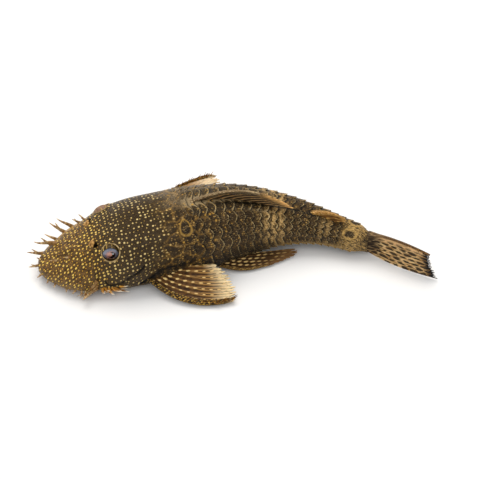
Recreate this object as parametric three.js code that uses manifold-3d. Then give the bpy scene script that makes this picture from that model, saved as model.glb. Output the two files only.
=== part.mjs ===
// Bristlenose pleco (Ancistrus), an adult male at life size, lying on its belly.
// Head and tail are bent towards its left side, the dorsal fin is folded down and the tail fin is closed.
// Millimetres, +Z up, the snout towards -X and the fish's left side towards -Y.
// Places on the fish are written as (s, lat, z): s along the backbone from the snout tip, lat to the
// fish's right of the backbone, z above the ground it lies on.
import * as THREE from 'three';
import { mergeVertices } from 'three/addons/utils/BufferGeometryUtils.js';
import Module from 'manifold-3d';

const wasm = await Module();
wasm.setup();

// Driving dimensions
const STANDARD_LENGTH = 88; // snout tip to the base of the tail fin
const GAP = 0.3; // clearance between touching pieces
const SNOUT = new THREE.Vector2(-51.3, -5.4); // snout tip in plan
const CHEEK_CUT = 25.5; // s where the head ends at ground level
const CUT_SLOPE = 0.52; // the head's rear edge leans back by this much per mm of height
const SCUTES_START = 35.6; // s of the first full ring of plates
const SCUTE_RINGS = 22;
const SCUTE_ROWS = 5; // rows of plates on each flank
const SCUTE_SHRINK = 0.983; // each ring's length over the one in front of it
const SCUTE_RISE = 0.36; // how far a plate's rear edge stands up
const SCUTE_POINT = 0.3; // how far a plate's middle reaches back, over its length
const TAIL_CUT_RING = 10; // the trunk ends inside this ring of plates
const EYE_RADIUS = 2.05;
const RAY_THICK = 0.95;
const MEMBRANE_THICK = 0.5;
const DEGREE = Math.PI / 180;

// The backbone's heading in plan, in degrees from +X
const HEADING = [[0, 24], [7, 14.5], [30, 15], [45, 18], [60, 3], [75, -16], [88, -27], [108, -30]];

// Body sections: s, half width, top, height of the widest point, underside
const SECTIONS = [
  [0, 0, 3.4, 2.5, 2.0],
  [0.8, 2.9, 4.1, 2.3, 1.6],
  [2.2, 4.8, 5.0, 2.2, 1.4],
  [5, 7.4, 6.7, 2.2, 1.3],
  [9, 9.7, 9.3, 2.5, 1.3],
  [14, 11.0, 12.2, 3.4, 1.2],
  [20, 11.6, 14.7, 4.9, -0.2],
  [27, 11.9, 15.6, 5.8, -0.3],
  [34, 11.7, 16.0, 6.0, -0.3],
  [42, 10.8, 16.2, 6.2, -0.3],
  [50, 9.6, 15.3, 6.2, -0.2],
  [58, 8.3, 13.2, 5.8, 0.8],
  [66, 6.6, 10.8, 5.2, 1.7],
  [74, 4.9, 8.7, 4.6, 1.6],
  [82, 3.9, 7.1, 4.1, 1.0],
  [88, 3.4, 6.9, 3.8, 0.7],
];

// Small maths
const lerp = THREE.MathUtils.lerp;
const clamp = THREE.MathUtils.clamp;
const smooth = THREE.MathUtils.smoothstep;

// A curve through table rows that never overshoots: column 0 is the place, the others are values.
function monotoneCurve(table, column) {
  const x = table.map((row) => row[0]);
  const y = table.map((row) => row[column]);
  const last = x.length - 1;
  const rise = x.slice(1).map((value, i) => (y[i + 1] - y[i]) / (value - x[i]));
  const slope = y.map((_, i) => {
    if (i === 0) return rise[0];
    if (i === last) return rise[last - 1];
    if (rise[i - 1] * rise[i] <= 0) return 0;
    const left = x[i] - x[i - 1];
    const right = x[i + 1] - x[i];
    const a = 2 * right + left;
    const b = right + 2 * left;
    return (a + b) / (a / rise[i - 1] + b / rise[i]);
  });
  return (place) => {
    const at = clamp(place, x[0], x[last]);
    let i = 0;
    while (i < last - 1 && at > x[i + 1]) i += 1;
    const width = x[i + 1] - x[i];
    const t = (at - x[i]) / width;
    return y[i] * (1 + 2 * t) * (1 - t) ** 2 + slope[i] * width * t * (1 - t) ** 2
      + y[i + 1] * t * t * (3 - 2 * t) + slope[i + 1] * width * t * t * (t - 1);
  };
}

// A seeded random draw, the same on every run
function randomSource(seed) {
  let state = seed;
  return () => {
    state = (state * 1664525 + 1013904223) % 4294967296;
    return state / 4294967296;
  };
}

// Backbone
const headingAt = monotoneCurve(HEADING, 1);
const BACKBONE_STEP = 0.25;
const backbone = [SNOUT.clone()];
for (let s = 0; s < 120; s += BACKBONE_STEP) {
  const angle = headingAt(s + BACKBONE_STEP / 2) * DEGREE;
  const from = backbone[backbone.length - 1];
  backbone.push(new THREE.Vector2(
    from.x + Math.cos(angle) * BACKBONE_STEP,
    from.y + Math.sin(angle) * BACKBONE_STEP,
  ));
}

function place(s, lat, z) {
  const steps = clamp(s / BACKBONE_STEP, 0, backbone.length - 1.001);
  const i = Math.floor(steps);
  const on = backbone[i].clone().lerp(backbone[i + 1], steps - i);
  const angle = headingAt(s) * DEGREE;
  const ahead = Math.min(s, 0);
  return new THREE.Vector3(
    on.x + Math.cos(angle) * ahead - Math.sin(angle) * lat,
    on.y + Math.sin(angle) * ahead + Math.cos(angle) * lat,
    z,
  );
}

// Body section: a rounded top and a flatter underside that is level where it meets the ground
const [halfWidth, topAt, wideAt, underAt] = [1, 2, 3, 4].map((i) => monotoneCurve(SECTIONS, i));

// How boxy the section is: 2 is an ellipse
const topPower = (s) => lerp(2.15, 2.5, smooth(s, 14, 36));
const bottomPower = (s) => lerp(4.5, 3.2, smooth(s, 55, 80));

function sectionPoint(s, theta) {
  const c = Math.cos(theta);
  const q = Math.sin(theta);
  const power = 2 / (q >= 0 ? topPower(s) : bottomPower(s));
  const wide = wideAt(s);
  const reach = q >= 0 ? topAt(s) - wide : wide - underAt(s);
  return new THREE.Vector2(
    halfWidth(s) * Math.sign(c) * Math.abs(c) ** power,
    wide + reach * Math.sign(q) * Math.abs(q) ** power,
  );
}

// A point of the body's surface, raised by lift along the section's normal
function bodyPoint(s, theta, lift = 0, ground = 0) {
  const at = sectionPoint(s, theta);
  const turn = sectionPoint(s, theta + 0.02).sub(sectionPoint(s, theta - 0.02));
  const normal = new THREE.Vector2(turn.y, -turn.x);
  if (normal.lengthSq() > 1e-12) at.addScaledVector(normal.normalize(), lift);
  return place(s, at.x, Math.max(at.y, ground));
}

// The height of the body's surface at a place seen from above
function surfaceHeight(s, lat) {
  const share = clamp(Math.abs(lat) / halfWidth(s), 0, 1);
  const power = topPower(s);
  return wideAt(s) + (topAt(s) - wideAt(s)) * (1 - share ** power) ** (1 / power);
}

// Closed meshes
function solidFrom(points, faces) {
  const geometry = new THREE.BufferGeometry();
  geometry.setAttribute('position', new THREE.Float32BufferAttribute(points.flatMap((p) => p.toArray()), 3));
  let volume = 0;
  for (const [a, b, c] of faces) volume += points[a].dot(points[b].clone().cross(points[c]));
  const outward = volume > 0 ? faces : faces.map(([a, b, c]) => [a, c, b]);
  geometry.setIndex(outward.flat());
  return geometry;
}

// Skins a row of rings of equal count; start and end are a point each, or the ring's own middle.
function loft(rings, start, end) {
  const count = rings[0].length;
  const middle = (ring) => ring.reduce((sum, p) => sum.add(p), new THREE.Vector3()).divideScalar(count);
  const points = [...rings.flat(), start ?? middle(rings[0]), end ?? middle(rings[rings.length - 1])];
  const first = rings.length * count;
  const faces = [];
  for (let i = 0; i < rings.length - 1; i += 1) {
    for (let j = 0; j < count; j += 1) {
      const a = i * count + j;
      const b = i * count + ((j + 1) % count);
      faces.push([a, b, b + count], [a, b + count, a + count]);
    }
  }
  const lastRing = (rings.length - 1) * count;
  for (let j = 0; j < count; j += 1) {
    const next = (j + 1) % count;
    faces.push([next, j, first], [lastRing + j, lastRing + next, first + 1]);
  }
  return solidFrom(points, faces);
}

// Boolean cuts and joins
function toManifold(geometry) {
  const bare = geometry.clone();
  bare.deleteAttribute('normal');
  bare.deleteAttribute('uv');
  const merged = mergeVertices(bare, 1e-5);
  return new wasm.Manifold(new wasm.Mesh({
    numProp: 3,
    vertProperties: new Float32Array(merged.attributes.position.array),
    triVerts: new Uint32Array(merged.index.array),
  }));
}

function toGeometry(solid) {
  const largest = solid.decompose().sort((a, b) => b.volume() - a.volume())[0];
  const mesh = largest.getMesh();
  const geometry = new THREE.BufferGeometry();
  geometry.setAttribute('position', new THREE.Float32BufferAttribute(mesh.vertProperties, 3));
  geometry.setIndex([...mesh.triVerts]);
  return geometry;
}

const join = (pieces) => pieces.map(toManifold).reduce((sum, piece) => sum.add(piece));
const cutBy = (solid, tools) => tools.reduce((left, tool) => left.subtract(toManifold(tool)), solid);

// A tapered, bent spine: root is sunk into what it grows from, tip follows the bend.
function spike(root, direction, length, radius, bend = new THREE.Vector3(), sides = 5) {
  const axis = direction.clone().normalize();
  const across = new THREE.Vector3(0, 0, 1).cross(axis);
  if (across.lengthSq() < 1e-6) across.set(1, 0, 0);
  across.normalize();
  const up = axis.clone().cross(across);
  const centre = (t) => root.clone().addScaledVector(axis, length * t).addScaledVector(bend, t * t);
  const ring = (t, size) => Array.from({ length: sides }, (_, k) => {
    const angle = (k / sides) * 2 * Math.PI;
    return centre(t).addScaledVector(across, Math.cos(angle) * size)
      .addScaledVector(up, Math.sin(angle) * size);
  });
  return loft([ring(0, radius), ring(0.5, radius * 0.66)], centre(0), centre(1));
}

// Trunk and tail: rings of plates, each ring rising to its rear edge and stepping down to the next
const ringLength = (() => {
  let sum = 0;
  for (let i = 0; i < SCUTE_RINGS; i += 1) sum += SCUTE_SHRINK ** i;
  return (STANDARD_LENGTH - SCUTES_START) / sum;
})();
const ringStarts = [SCUTES_START];
for (let i = 0; i < SCUTE_RINGS; i += 1) ringStarts.push(ringStarts[i] + ringLength * SCUTE_SHRINK ** i);

const ROWS_TOP = 87; // degrees round the section where the top row starts
const ROWS_END = -40; // and where the lowest row ends
const SAMPLES_PER_ROW = 4;
const BELLY_SAMPLES = 4;

// Angles round one section, with each one's place across its row of plates, or null off the rows
const aroundBody = (() => {
  const right = [];
  const steps = SCUTE_ROWS * SAMPLES_PER_ROW;
  for (let k = 0; k <= steps; k += 1) {
    const theta = lerp(ROWS_TOP, ROWS_END, k / steps) * DEGREE;
    right.push({ theta, across: (k % SAMPLES_PER_ROW) / SAMPLES_PER_ROW });
  }
  const left = right.map(({ theta, across }) => ({ theta: Math.PI - theta, across })).reverse();
  const belly = [];
  for (let k = 1; k <= BELLY_SAMPLES; k += 1) {
    const share = k / (BELLY_SAMPLES + 1);
    belly.push({ theta: lerp(ROWS_END, -180 - ROWS_END, share) * DEGREE, across: null });
  }
  return [...right, ...belly, ...left];
})();

const plateCrown = (across) => (across === null ? 0 : 1 - 0.8 * Math.abs(2 * across - 1) ** 2);
const plateReach = (across) => (across === null ? 0 : -SCUTE_POINT * Math.abs(2 * across - 1));

function plateRings(from, to) {
  const rings = [];
  for (let i = from; i <= to; i += 1) {
    const length = ringStarts[i + 1] - ringStarts[i];
    const edge = (at, lift) => aroundBody.map(({ theta, across }) => {
      const s = ringStarts[i] + (at + plateReach(across)) * length;
      return bodyPoint(s, theta, lift * plateCrown(across) * Math.min(1, halfWidth(s) / 5));
    });
    rings.push({ i, at: 0.07, points: edge(0.07, 0) });
    rings.push({ i, at: 0.93, points: edge(0.93, SCUTE_RISE) });
  }
  return rings;
}

// The slanted plane between head and trunk, and the upright one between trunk and tail
const cheekRing = (around, shift, lift = 0) => around.map(({ theta }) => {
  const z = sectionPoint(30, theta).y;
  return bodyPoint(CHEEK_CUT + shift + CUT_SLOPE * Math.max(z, 0), theta, lift);
});
const tailCut = ringStarts[TAIL_CUT_RING] + 0.3 * (ringStarts[TAIL_CUT_RING + 1] - ringStarts[TAIL_CUT_RING]);
const uprightRing = (s, lift) => aroundBody.map(({ theta, across }) => bodyPoint(s, theta, lift * plateCrown(across)));

function trunkSolid() {
  const shoulder = aroundBody.map(({ theta, across }) => {
    const z = sectionPoint(30, theta).y;
    const s = lerp(CHEEK_CUT + CUT_SLOPE * Math.max(z, 0), SCUTES_START - 1.2, 0.5);
    return bodyPoint(s, theta, 0.12 * plateCrown(across));
  });
  const plates = plateRings(0, TAIL_CUT_RING - 1).map((ring) => ring.points);
  const start = plateRings(TAIL_CUT_RING, TAIL_CUT_RING)[0].points;
  return loft([cheekRing(aroundBody, GAP / 2), shoulder, ...plates, start, uprightRing(tailCut - GAP / 2, 0.12)]);
}

function tailSolid() {
  const plates = plateRings(TAIL_CUT_RING, SCUTE_RINGS - 1).map((ring) => ring.points).slice(1, -1);
  return loft([uprightRing(tailCut + GAP / 2, 0.12), ...plates, uprightRing(STANDARD_LENGTH - GAP / 2, 0.1)]);
}

// A smooth body a little larger than the real one, for cutting fin roots to the skin
function grownBody() {
  const around = Array.from({ length: 48 }, (_, k) => (k / 48) * 2 * Math.PI);
  const end = STANDARD_LENGTH + GAP / 2;
  const stations = Array.from({ length: 60 }, (_, k) => lerp(2, end, k / 59));
  return loft(stations.map((s) => {
    const plates = SCUTE_RISE * Math.min(1, halfWidth(s) / 5) * smooth(s, SCUTES_START - 3, SCUTES_START);
    return around.map((theta) => bodyPoint(s, theta, GAP + plates, -1));
  }));
}

// Head
const HEAD_AROUND = 36;
const HEAD_STATIONS = [0.3, 0.9, 1.8, 3, 4.6, 6.5, 8.6, 11, 13.5, 16, 18.5, 21, 23];

function headSkin() {
  const around = Array.from({ length: HEAD_AROUND }, (_, k) => ({ theta: (k / HEAD_AROUND) * 2 * Math.PI }));
  const rings = HEAD_STATIONS.map((s) => around.map(({ theta }) => bodyPoint(s, theta)));
  const rear = [0.45, 0.75].map((share) => around.map(({ theta }) => {
    const z = sectionPoint(30, theta).y;
    return bodyPoint(lerp(23, CHEEK_CUT + CUT_SLOPE * Math.max(z, 0), share), theta);
  }));
  return loft([...rings, ...rear, cheekRing(around, -GAP / 2)], place(0, 0, 3.2));
}

// Eyes stand out of the head under a lid that covers their top
const EYE_LEFT = [17.9, -6.9, 10.6];
const EYE_RIGHT = [18.6, 6.8, 11.1];
const LID_RADIUS = 2.75;
const OPENING_RADIUS = 2.0;
const GAZE_UP = 24 * DEGREE;
const GAZE_FORWARD = 10 * DEGREE;

function eyeFrame(side) {
  const [s, lat, z] = side < 0 ? EYE_LEFT : EYE_RIGHT;
  const centre = place(s, lat, z);
  const outward = place(s, side * 20, z).sub(centre).normalize();
  const forward = place(s - 5, lat, z).sub(centre).normalize();
  const gaze = outward.multiplyScalar(Math.cos(GAZE_UP) * Math.cos(GAZE_FORWARD))
    .addScaledVector(forward, Math.sin(GAZE_FORWARD) * Math.cos(GAZE_UP))
    .add(new THREE.Vector3(0, 0, Math.sin(GAZE_UP)));
  return { centre, gaze: gaze.normalize() };
}

const ballAt = (centre, radius, detail) => new THREE.IcosahedronGeometry(radius, detail)
  .translate(centre.x, centre.y, centre.z);

function drumAlong(centre, direction, radius, length) {
  const turn = new THREE.Quaternion().setFromUnitVectors(new THREE.Vector3(0, 1, 0), direction);
  const middle = centre.clone().addScaledVector(direction, length / 2);
  return new THREE.CylinderGeometry(radius, radius, length, 20)
    .applyQuaternion(turn).translate(middle.x, middle.y, middle.z);
}

// Nostril: a pit with a fleshy flap standing in front of it
const NOSTRIL = { s: 14.6, lat: 4.5 };

function nostrilPit(side) {
  const at = place(NOSTRIL.s, side * NOSTRIL.lat, surfaceHeight(NOSTRIL.s, NOSTRIL.lat));
  return new THREE.IcosahedronGeometry(1, 1).scale(0.8, 1.05, 0.9).translate(at.x, at.y, at.z);
}

function nostrilFlap(side) {
  const s = NOSTRIL.s - 1.5;
  const at = place(s, side * NOSTRIL.lat, surfaceHeight(s, NOSTRIL.lat) + 0.15);
  return new THREE.IcosahedronGeometry(1, 1).scale(0.6, 1.15, 0.95).rotateY(-0.35)
    .translate(at.x, at.y, at.z);
}

// Tentacles: fleshy, tapered, some of them forked. They are long on the right margin of the snout,
// short on the left one, and folded down in a tuft behind the left corner of the mouth.
// Each row is s, degrees up from the section's widest point, then its lean ahead, out and up,
// its length, and 1 if it forks.
const TENTACLE_ROOT = 0.9; // how deep a tentacle's root is sunk
const TENTACLES_RIGHT = [
  [0.4, 10, 1, 0.0, 0.1, 2.6, 1],
  [2.6, 14, 1, 0.15, 0.12, 4.2, 1],
  [5.4, 62, 1, 0.1, 0.3, 5.6, 1],
  [6.2, 18, 0.8, 0.4, 0.35, 3.4, 0],
  [8.5, 26, 0.78, 0.35, 0.5, 4.6, 1],
  [10.4, 36, 0.78, 0.3, 0.5, 4.3, 0],
  [12.3, 42, 0.8, 0.35, 0.25, 1.8, 1],
  [13.8, 46, 0.75, 0.4, 0.4, 1.8, 0],
  [1.6, -20, 0.6, 0.8, -0.1, 1.4, 0],
  [4.4, -20, 0.4, 0.9, -0.1, 1.6, 0],
  [7.6, -20, 0.4, 0.9, -0.1, 1.8, 0],
  [10.4, -20, 0.5, 0.85, 0, 2.4, 0],
  [12.6, -15, 0.6, 0.75, 0, 3.4, 1],
];
const TENTACLES_LEFT = [
  [0.4, 0, 0.85, 0.5, 0.1, 2.0, 0],
  [1.4, -20, 0.6, 0.8, -0.1, 1.3, 0],
  [3.0, -20, 0.5, 0.85, -0.1, 1.4, 0],
  [5.9, -20, 0.3, 0.95, -0.1, 1.5, 0],
  [7.9, -20, 0.45, 0.9, -0.1, 1.6, 0],
  [9.6, -20, 0.35, 0.9, -0.05, 2.2, 0],
  [11.0, -18, 0.6, 0.8, 0, 2.9, 1],
  [12.3, -12, 0.72, 0.7, 0, 4.6, 1],
  [4.6, 75, 1, 0, 0.35, 1.8, 0],
  [8.0, 68, 0.9, 0.1, 0.45, 1.6, 0],
];

function tentacle([s, up, ahead, out, rise, length, forks], side) {
  const theta = side > 0 ? up * DEGREE : Math.PI - up * DEGREE;
  const here = place(s, 0, 0);
  const direction = place(s - ahead, side * out, rise).sub(here).normalize();
  const bend = new THREE.Vector3(0, 0, length * 0.12);
  const start = bodyPoint(s, theta, -0.1).addScaledVector(direction, -TENTACLE_ROOT);
  const thick = 0.3 + 0.07 * length;
  const pieces = [spike(start, direction, length + TENTACLE_ROOT, thick, bend)];
  if (forks) {
    const branch = direction.clone().add(new THREE.Vector3(0.05, side * 0.2, 0.42));
    const from = start.clone().addScaledVector(direction, TENTACLE_ROOT + length * 0.22);
    pieces.push(spike(from, branch, length * 0.55, thick * 0.62));
  }
  return pieces;
}

// Cheek spines: hooked odontodes that stand out from below the gill cover
const CHEEK_SPINES = 10;

function cheekSpines(side) {
  const random = randomSource(side > 0 ? 21 : 23);
  return Array.from({ length: CHEEK_SPINES }, (_, k) => {
    const share = k / (CHEEK_SPINES - 1);
    const s = lerp(15.2, 20.4, share);
    const z = 1.6 + 0.8 * (k % 2);
    const root = place(s, side * (halfWidth(s) - 1.1), z);
    const direction = place(s + lerp(-0.1, 0.9, share), side * (halfWidth(s) + 0.2), z - 0.3).sub(root);
    const hook = place(s + 1, 0, 0).sub(place(s, 0, 0)).multiplyScalar(lerp(0.5, 1.2, random()));
    return spike(root, direction, lerp(3.3, 4.1, random()), 0.36, hook.setZ(-0.2), 4);
  });
}

// Gill cover: the thin slit along its lower and rear edge
const GILL_SLIT = [[15.6, -4], [17.2, -9], [19.4, -3], [21.6, 4], [23.6, 14], [24.8, 26]];
const SLIT_SIZE = 0.28;

function gillSlit(side) {
  const points = GILL_SLIT.map(([s, up]) => {
    const theta = side > 0 ? up * DEGREE : Math.PI - up * DEGREE;
    return bodyPoint(s, theta);
  });
  const rings = points.map((at, k) => {
    const size = k === 0 || k === points.length - 1 ? SLIT_SIZE * 0.4 : SLIT_SIZE;
    const along = points[Math.min(k + 1, points.length - 1)].clone().sub(points[Math.max(k - 1, 0)]).normalize();
    const across = new THREE.Vector3(0, 0, 1).cross(along).normalize();
    const up = along.cross(across);
    return [0, 1, 2, 3].map((corner) => at.clone()
      .addScaledVector(across, Math.cos(corner * Math.PI / 2) * size * 1.6)
      .addScaledVector(up, Math.sin(corner * Math.PI / 2) * size));
  });
  return loft(rings);
}

function headSolid() {
  const lids = [-1, 1].map((side) => ballAt(eyeFrame(side).centre, LID_RADIUS, 3));
  const flaps = [-1, 1].map(nostrilFlap);
  const tentacles = [
    ...TENTACLES_RIGHT.flatMap((row) => tentacle(row, 1)),
    ...TENTACLES_LEFT.flatMap((row) => tentacle(row, -1)),
  ];
  const sockets = [-1, 1].flatMap((side) => {
    const { centre, gaze } = eyeFrame(side);
    return [ballAt(centre, EYE_RADIUS + GAP, 2), drumAlong(centre, gaze, OPENING_RADIUS, 6)];
  });
  const solid = join([headSkin(), ...lids, ...flaps, ...tentacles, ...cheekSpines(-1), ...cheekSpines(1)]);
  const cuts = [...sockets, ...[-1, 1].map(nostrilPit), ...[-1, 1].map(gillSlit)];
  return toGeometry(cutBy(solid, cuts));
}

// Sucker mouth: a lip disc that rests on the ground, with two toothed jaws in its cup
const MOUTH = { s: 9.4, halfLong: 6.6, halfWide: 7.8, height: 0.95 };

const LIP_POINTS = 32;

function ovalRing(scale, z, ripple = 0) {
  return Array.from({ length: LIP_POINTS }, (_, k) => {
    const angle = (k / LIP_POINTS) * 2 * Math.PI;
    const reach = scale * (1 + ripple * (k % 2));
    return place(
      MOUTH.s + Math.cos(angle) * MOUTH.halfLong * reach,
      Math.sin(angle) * MOUTH.halfWide * reach,
      z,
    );
  });
}

function jaw(direction) {
  const count = 9;
  const rings = Array.from({ length: count }, (_, k) => {
    const lat = lerp(-2.6, 2.6, k / (count - 1));
    const s = MOUTH.s + direction * (0.75 + 0.12 * lat * lat);
    const high = 0.6 - 0.1 * (k % 2);
    return [
      place(s - 0.45, lat, MOUTH.height), place(s + 0.45, lat, MOUTH.height),
      place(s + 0.3, lat, MOUTH.height - high), place(s - 0.3, lat, MOUTH.height - high),
    ];
  });
  return loft(rings);
}

function mouthSolid() {
  const disc = loft([
    ovalRing(0.62, 0.6), ovalRing(0.74, 0.08, 0.05), ovalRing(0.78, 0), ovalRing(0.97, 0),
    ovalRing(1, 0.15, 0.025), ovalRing(0.97, 0.75), ovalRing(0.8, MOUTH.height),
  ], place(MOUTH.s, 0, 0.62));
  return toGeometry(join([disc, jaw(-1), jaw(1)]));
}

// Fins: a sheet between a first and a last ray, its rays raised as ridges on both faces
// A fin's first and last ray are bent paths of three points: base, control and tip.
const threePoint = (a, b, c, t) => a.clone().multiplyScalar((1 - t) ** 2)
  .addScaledVector(b, 2 * t * (1 - t)).addScaledVector(c, t * t);
const onBody = ([s, lat, z], side) => new THREE.Vector3(s, side * lat, z);

function finMid(fin, u, v) {
  const side = fin.side ?? 1;
  const base = onBody(fin.first[0], side).lerp(onBody(fin.last[0], side), u);
  const control = onBody(fin.first[1], side).lerp(onBody(fin.last[1], side), u);
  const tip = threePoint(onBody(fin.first[2], side), onBody(fin.edge, side), onBody(fin.last[2], side), u);
  const at = threePoint(base, control, tip, v);
  return place(at.x, at.y, at.z);
}

// Rays fork in their outer half, so each has a middle column and one on either side of it.
const FORKED_RAY = [
  { shift: -0.24, near: 0.35, far: 1 },
  { shift: 0, near: 1, far: 0.25 },
  { shift: 0.24, near: 0.35, far: 1 },
  { shift: 0.5, near: 0, far: 0 },
];
const PLAIN_RAY = [{ shift: 0, near: 1, far: 1 }, { shift: 0.5, near: 0, far: 0 }];

function finColumns({ rays, plain, spineWide }) {
  const columns = [
    { u: 0, near: 0.5, far: 0.5, spine: true },
    { u: spineWide * 0.5, near: 1, far: 1, spine: true },
    { u: spineWide, near: 0.5, far: 0.5, spine: true },
    { u: spineWide * 1.3, near: 0, far: 0 },
  ];
  for (let ray = 1; ray <= rays; ray += 1) {
    for (const { shift, near, far } of plain ? PLAIN_RAY : FORKED_RAY) {
      const u = lerp(spineWide * 1.3, 1, (ray - 0.25 + shift) / (rays - 0.25));
      if (u < 1 + 1e-9) columns.push({ u, near, far });
    }
  }
  return columns;
}

function finSolid(fin) {
  const columns = finColumns(fin);
  const rows = fin.rows ?? 7;
  const faces = [[], []];
  for (const { u, near, far, spine } of columns) {
    for (let row = 0; row <= rows; row += 1) {
      const tipDraw = far > 0.5 ? 1 : 0.955;
      const v = (row / rows) * tipDraw;
      const ridge = lerp(near, far, smooth(v, 0.4, 0.7));
      const taper = lerp(1, 0.55, v);
      const thick = MEMBRANE_THICK + (spine ? fin.spineThick : RAY_THICK - MEMBRANE_THICK) * ridge * taper
        + (fin.rootThick ?? 0) * (1 - smooth(v, 0, 0.22));
      const centre = finMid(fin, u, v);
      const alongU = finMid(fin, Math.min(u + 0.01, 1), v).sub(finMid(fin, Math.max(u - 0.01, 0), v));
      const alongV = finMid(fin, u, Math.min(v + 0.01, 1)).sub(finMid(fin, u, Math.max(v - 0.01, 0)));
      const normal = alongU.cross(alongV).normalize();
      faces[0].push(centre.clone().addScaledVector(normal, thick / 2));
      faces[1].push(centre.clone().addScaledVector(normal, -thick / 2));
    }
  }
  return sheetSolid(faces[0], faces[1], columns.length, rows + 1);
}

// Closes two grids of points, split alike, into one sheet.
function sheetSolid(upper, lower, columns, rows) {
  const below = upper.length;
  const index = (column, row) => column * rows + row;
  const triangles = [];
  for (let i = 0; i < columns - 1; i += 1) {
    for (let j = 0; j < rows - 1; j += 1) {
      const [a, b, c, d] = [index(i, j), index(i + 1, j), index(i + 1, j + 1), index(i, j + 1)];
      triangles.push([a, b, c], [a, c, d]);
      triangles.push([a + below, c + below, b + below], [a + below, d + below, c + below]);
    }
  }
  const rim = [];
  for (let i = 0; i < columns - 1; i += 1) rim.push(index(i, 0));
  for (let j = 0; j < rows - 1; j += 1) rim.push(index(columns - 1, j));
  for (let i = columns - 1; i > 0; i -= 1) rim.push(index(i, rows - 1));
  for (let j = rows - 1; j > 0; j -= 1) rim.push(index(0, j));
  rim.forEach((a, k) => {
    const b = rim[(k + 1) % rim.length];
    triangles.push([b, a, a + below], [b, a + below, b + below]);
  });
  return solidFrom([...upper, ...lower], triangles);
}

// Pectoral fins: a stout spine on the outer edge, bristly towards its tip
const PECTORAL_LEFT = {
  side: -1, rays: 6, spineThick: 1.1, spineWide: 0.1, rootThick: 0.9,
  first: [[25.6, 10.4, 2.6], [33.2, 22.8, 0.1], [44.2, 22.5, 1.0]],
  last: [[32.0, 9.6, 5.2], [37.0, 12.2, 5.6], [43.2, 11.8, 4.4]],
  edge: [48.8, 19.4, 1.2],
};
const PECTORAL_RIGHT = {
  side: 1, rays: 6, spineThick: 1.1, spineWide: 0.1, rootThick: 0.9,
  first: [[26.6, 10.2, 3.8], [38.8, 20.6, 3.6], [50.6, 21.3, 3.9]],
  last: [[32.6, 9.6, 5.8], [38.6, 13.2, 6.2], [46.0, 13.0, 5.8]],
  edge: [55.4, 17.6, 3.1],
};
const SPINE_BRISTLES = 14;

function pectoralSolid(fin) {
  const random = randomSource(fin.side > 0 ? 31 : 37);
  const bristles = Array.from({ length: SPINE_BRISTLES }, (_, k) => {
    const v = lerp(0.34, 0.98, k / (SPINE_BRISTLES - 1));
    const root = finMid(fin, fin.spineWide * 0.5, v);
    const along = finMid(fin, 0, Math.min(v + 0.02, 1)).sub(finMid(fin, 0, v - 0.02)).normalize();
    const outward = finMid(fin, 0, v).sub(finMid(fin, 0.2, v)).setZ(0).normalize();
    const lean = along.multiplyScalar(0.8).addScaledVector(outward, 0.4 - 0.5 * (k % 2)).setZ(0.45);
    return spike(root, lean, lerp(1.2, 2.2, v) * lerp(0.85, 1.15, random()), 0.32, new THREE.Vector3(), 4);
  });
  return toGeometry(cutBy(join([finSolid(fin), ...bristles]), [grownBody()]));
}

// Pelvic fins: rounded, flat on the ground beside the belly, the right one spread a little wider
const pelvic = (side) => ({
  side, rays: 5, spineThick: 0.6, spineWide: 0.08, rootThick: 0.5,
  first: [[42.4, 7.6, 1.6], [48.4, 15.6, 0.6], [60.5, 11.7, 0.75]],
  last: [[47.4, 7.2, 2.0], [57.0, 9.4, 1.5], [69.2, side > 0 ? 6.3 : 5.6, 1.0]],
  edge: [71.2, side > 0 ? 9.7 : 8.8, 0.6],
});

// Dorsal fin: folded down along the back, leaning to the left, its rays almost in line with it
const DORSAL = {
  rays: 7, plain: true, spineThick: 0.7, spineWide: 0.1, rootThick: 0.3, rows: 9,
  first: [[39.6, 0.2, 16.0], [49.0, -0.7, 20.1], [60.0, -2.4, 16.5]],
  last: [[58.4, -1.4, 12.6], [62.0, -2.0, 13.1], [67.6, -1.9, 11.6]],
  edge: [65.4, -2.6, 14.2],
};

const ADIPOSE = {
  rays: 2, plain: true, spineThick: 0.7, spineWide: 0.3, rootThick: 0.4, rows: 5,
  first: [[71.4, 0.2, 9.1], [76.4, 0.4, 10.9], [80.6, 0.3, 9.2]],
  last: [[78.0, 0, 7.5], [79.4, 0, 8.1], [81.2, 0.1, 8.1]],
  edge: [81.7, 0.2, 8.8],
};

// Anal fin: small and folded flat under the tail
const ANAL = {
  rays: 4, plain: true, spineThick: 0.3, spineWide: 0.1, rows: 6,
  first: [[61.6, -1.2, 1.5], [65.0, -2.2, 0.2], [71.6, -1.6, 0.6]],
  last: [[63.4, 1.0, 1.6], [67.0, 1.5, 0.3], [71.4, 1.0, 0.6]],
  edge: [73.4, -0.2, 0.6],
};

// Tail fin: closed, its lower lobe the longer and leaning to the left
const CAUDAL = {
  rays: 14, plain: true, spineThick: 0.5, spineWide: 0.06, rootThick: 2.6,
  first: [[STANDARD_LENGTH - 0.6, 0, 7.2], [95.0, 0, 8.9], [104.6, 0, 7.4]],
  last: [[STANDARD_LENGTH - 0.6, 0, 1.0], [95.0, -2.4, 0.3], [107.8, -0.6, 0.7]],
  edge: [104.6, 0, 4.2],
};

// Assembly
const fish = new THREE.Group();

function addPart(name, geometry, colour, roughness) {
  const material = new THREE.MeshStandardMaterial({ color: colour, roughness, metalness: 0 });
  const mesh = new THREE.Mesh(geometry, material);
  mesh.name = name;
  fish.add(mesh);
}

const SKIN = 0x4a3b22;
const HEAD_SKIN = 0x54421f;
const FIN = 0x7a5528;
const cutFin = (fin) => toGeometry(cutBy(toManifold(finSolid(fin)), [grownBody()]));

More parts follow.
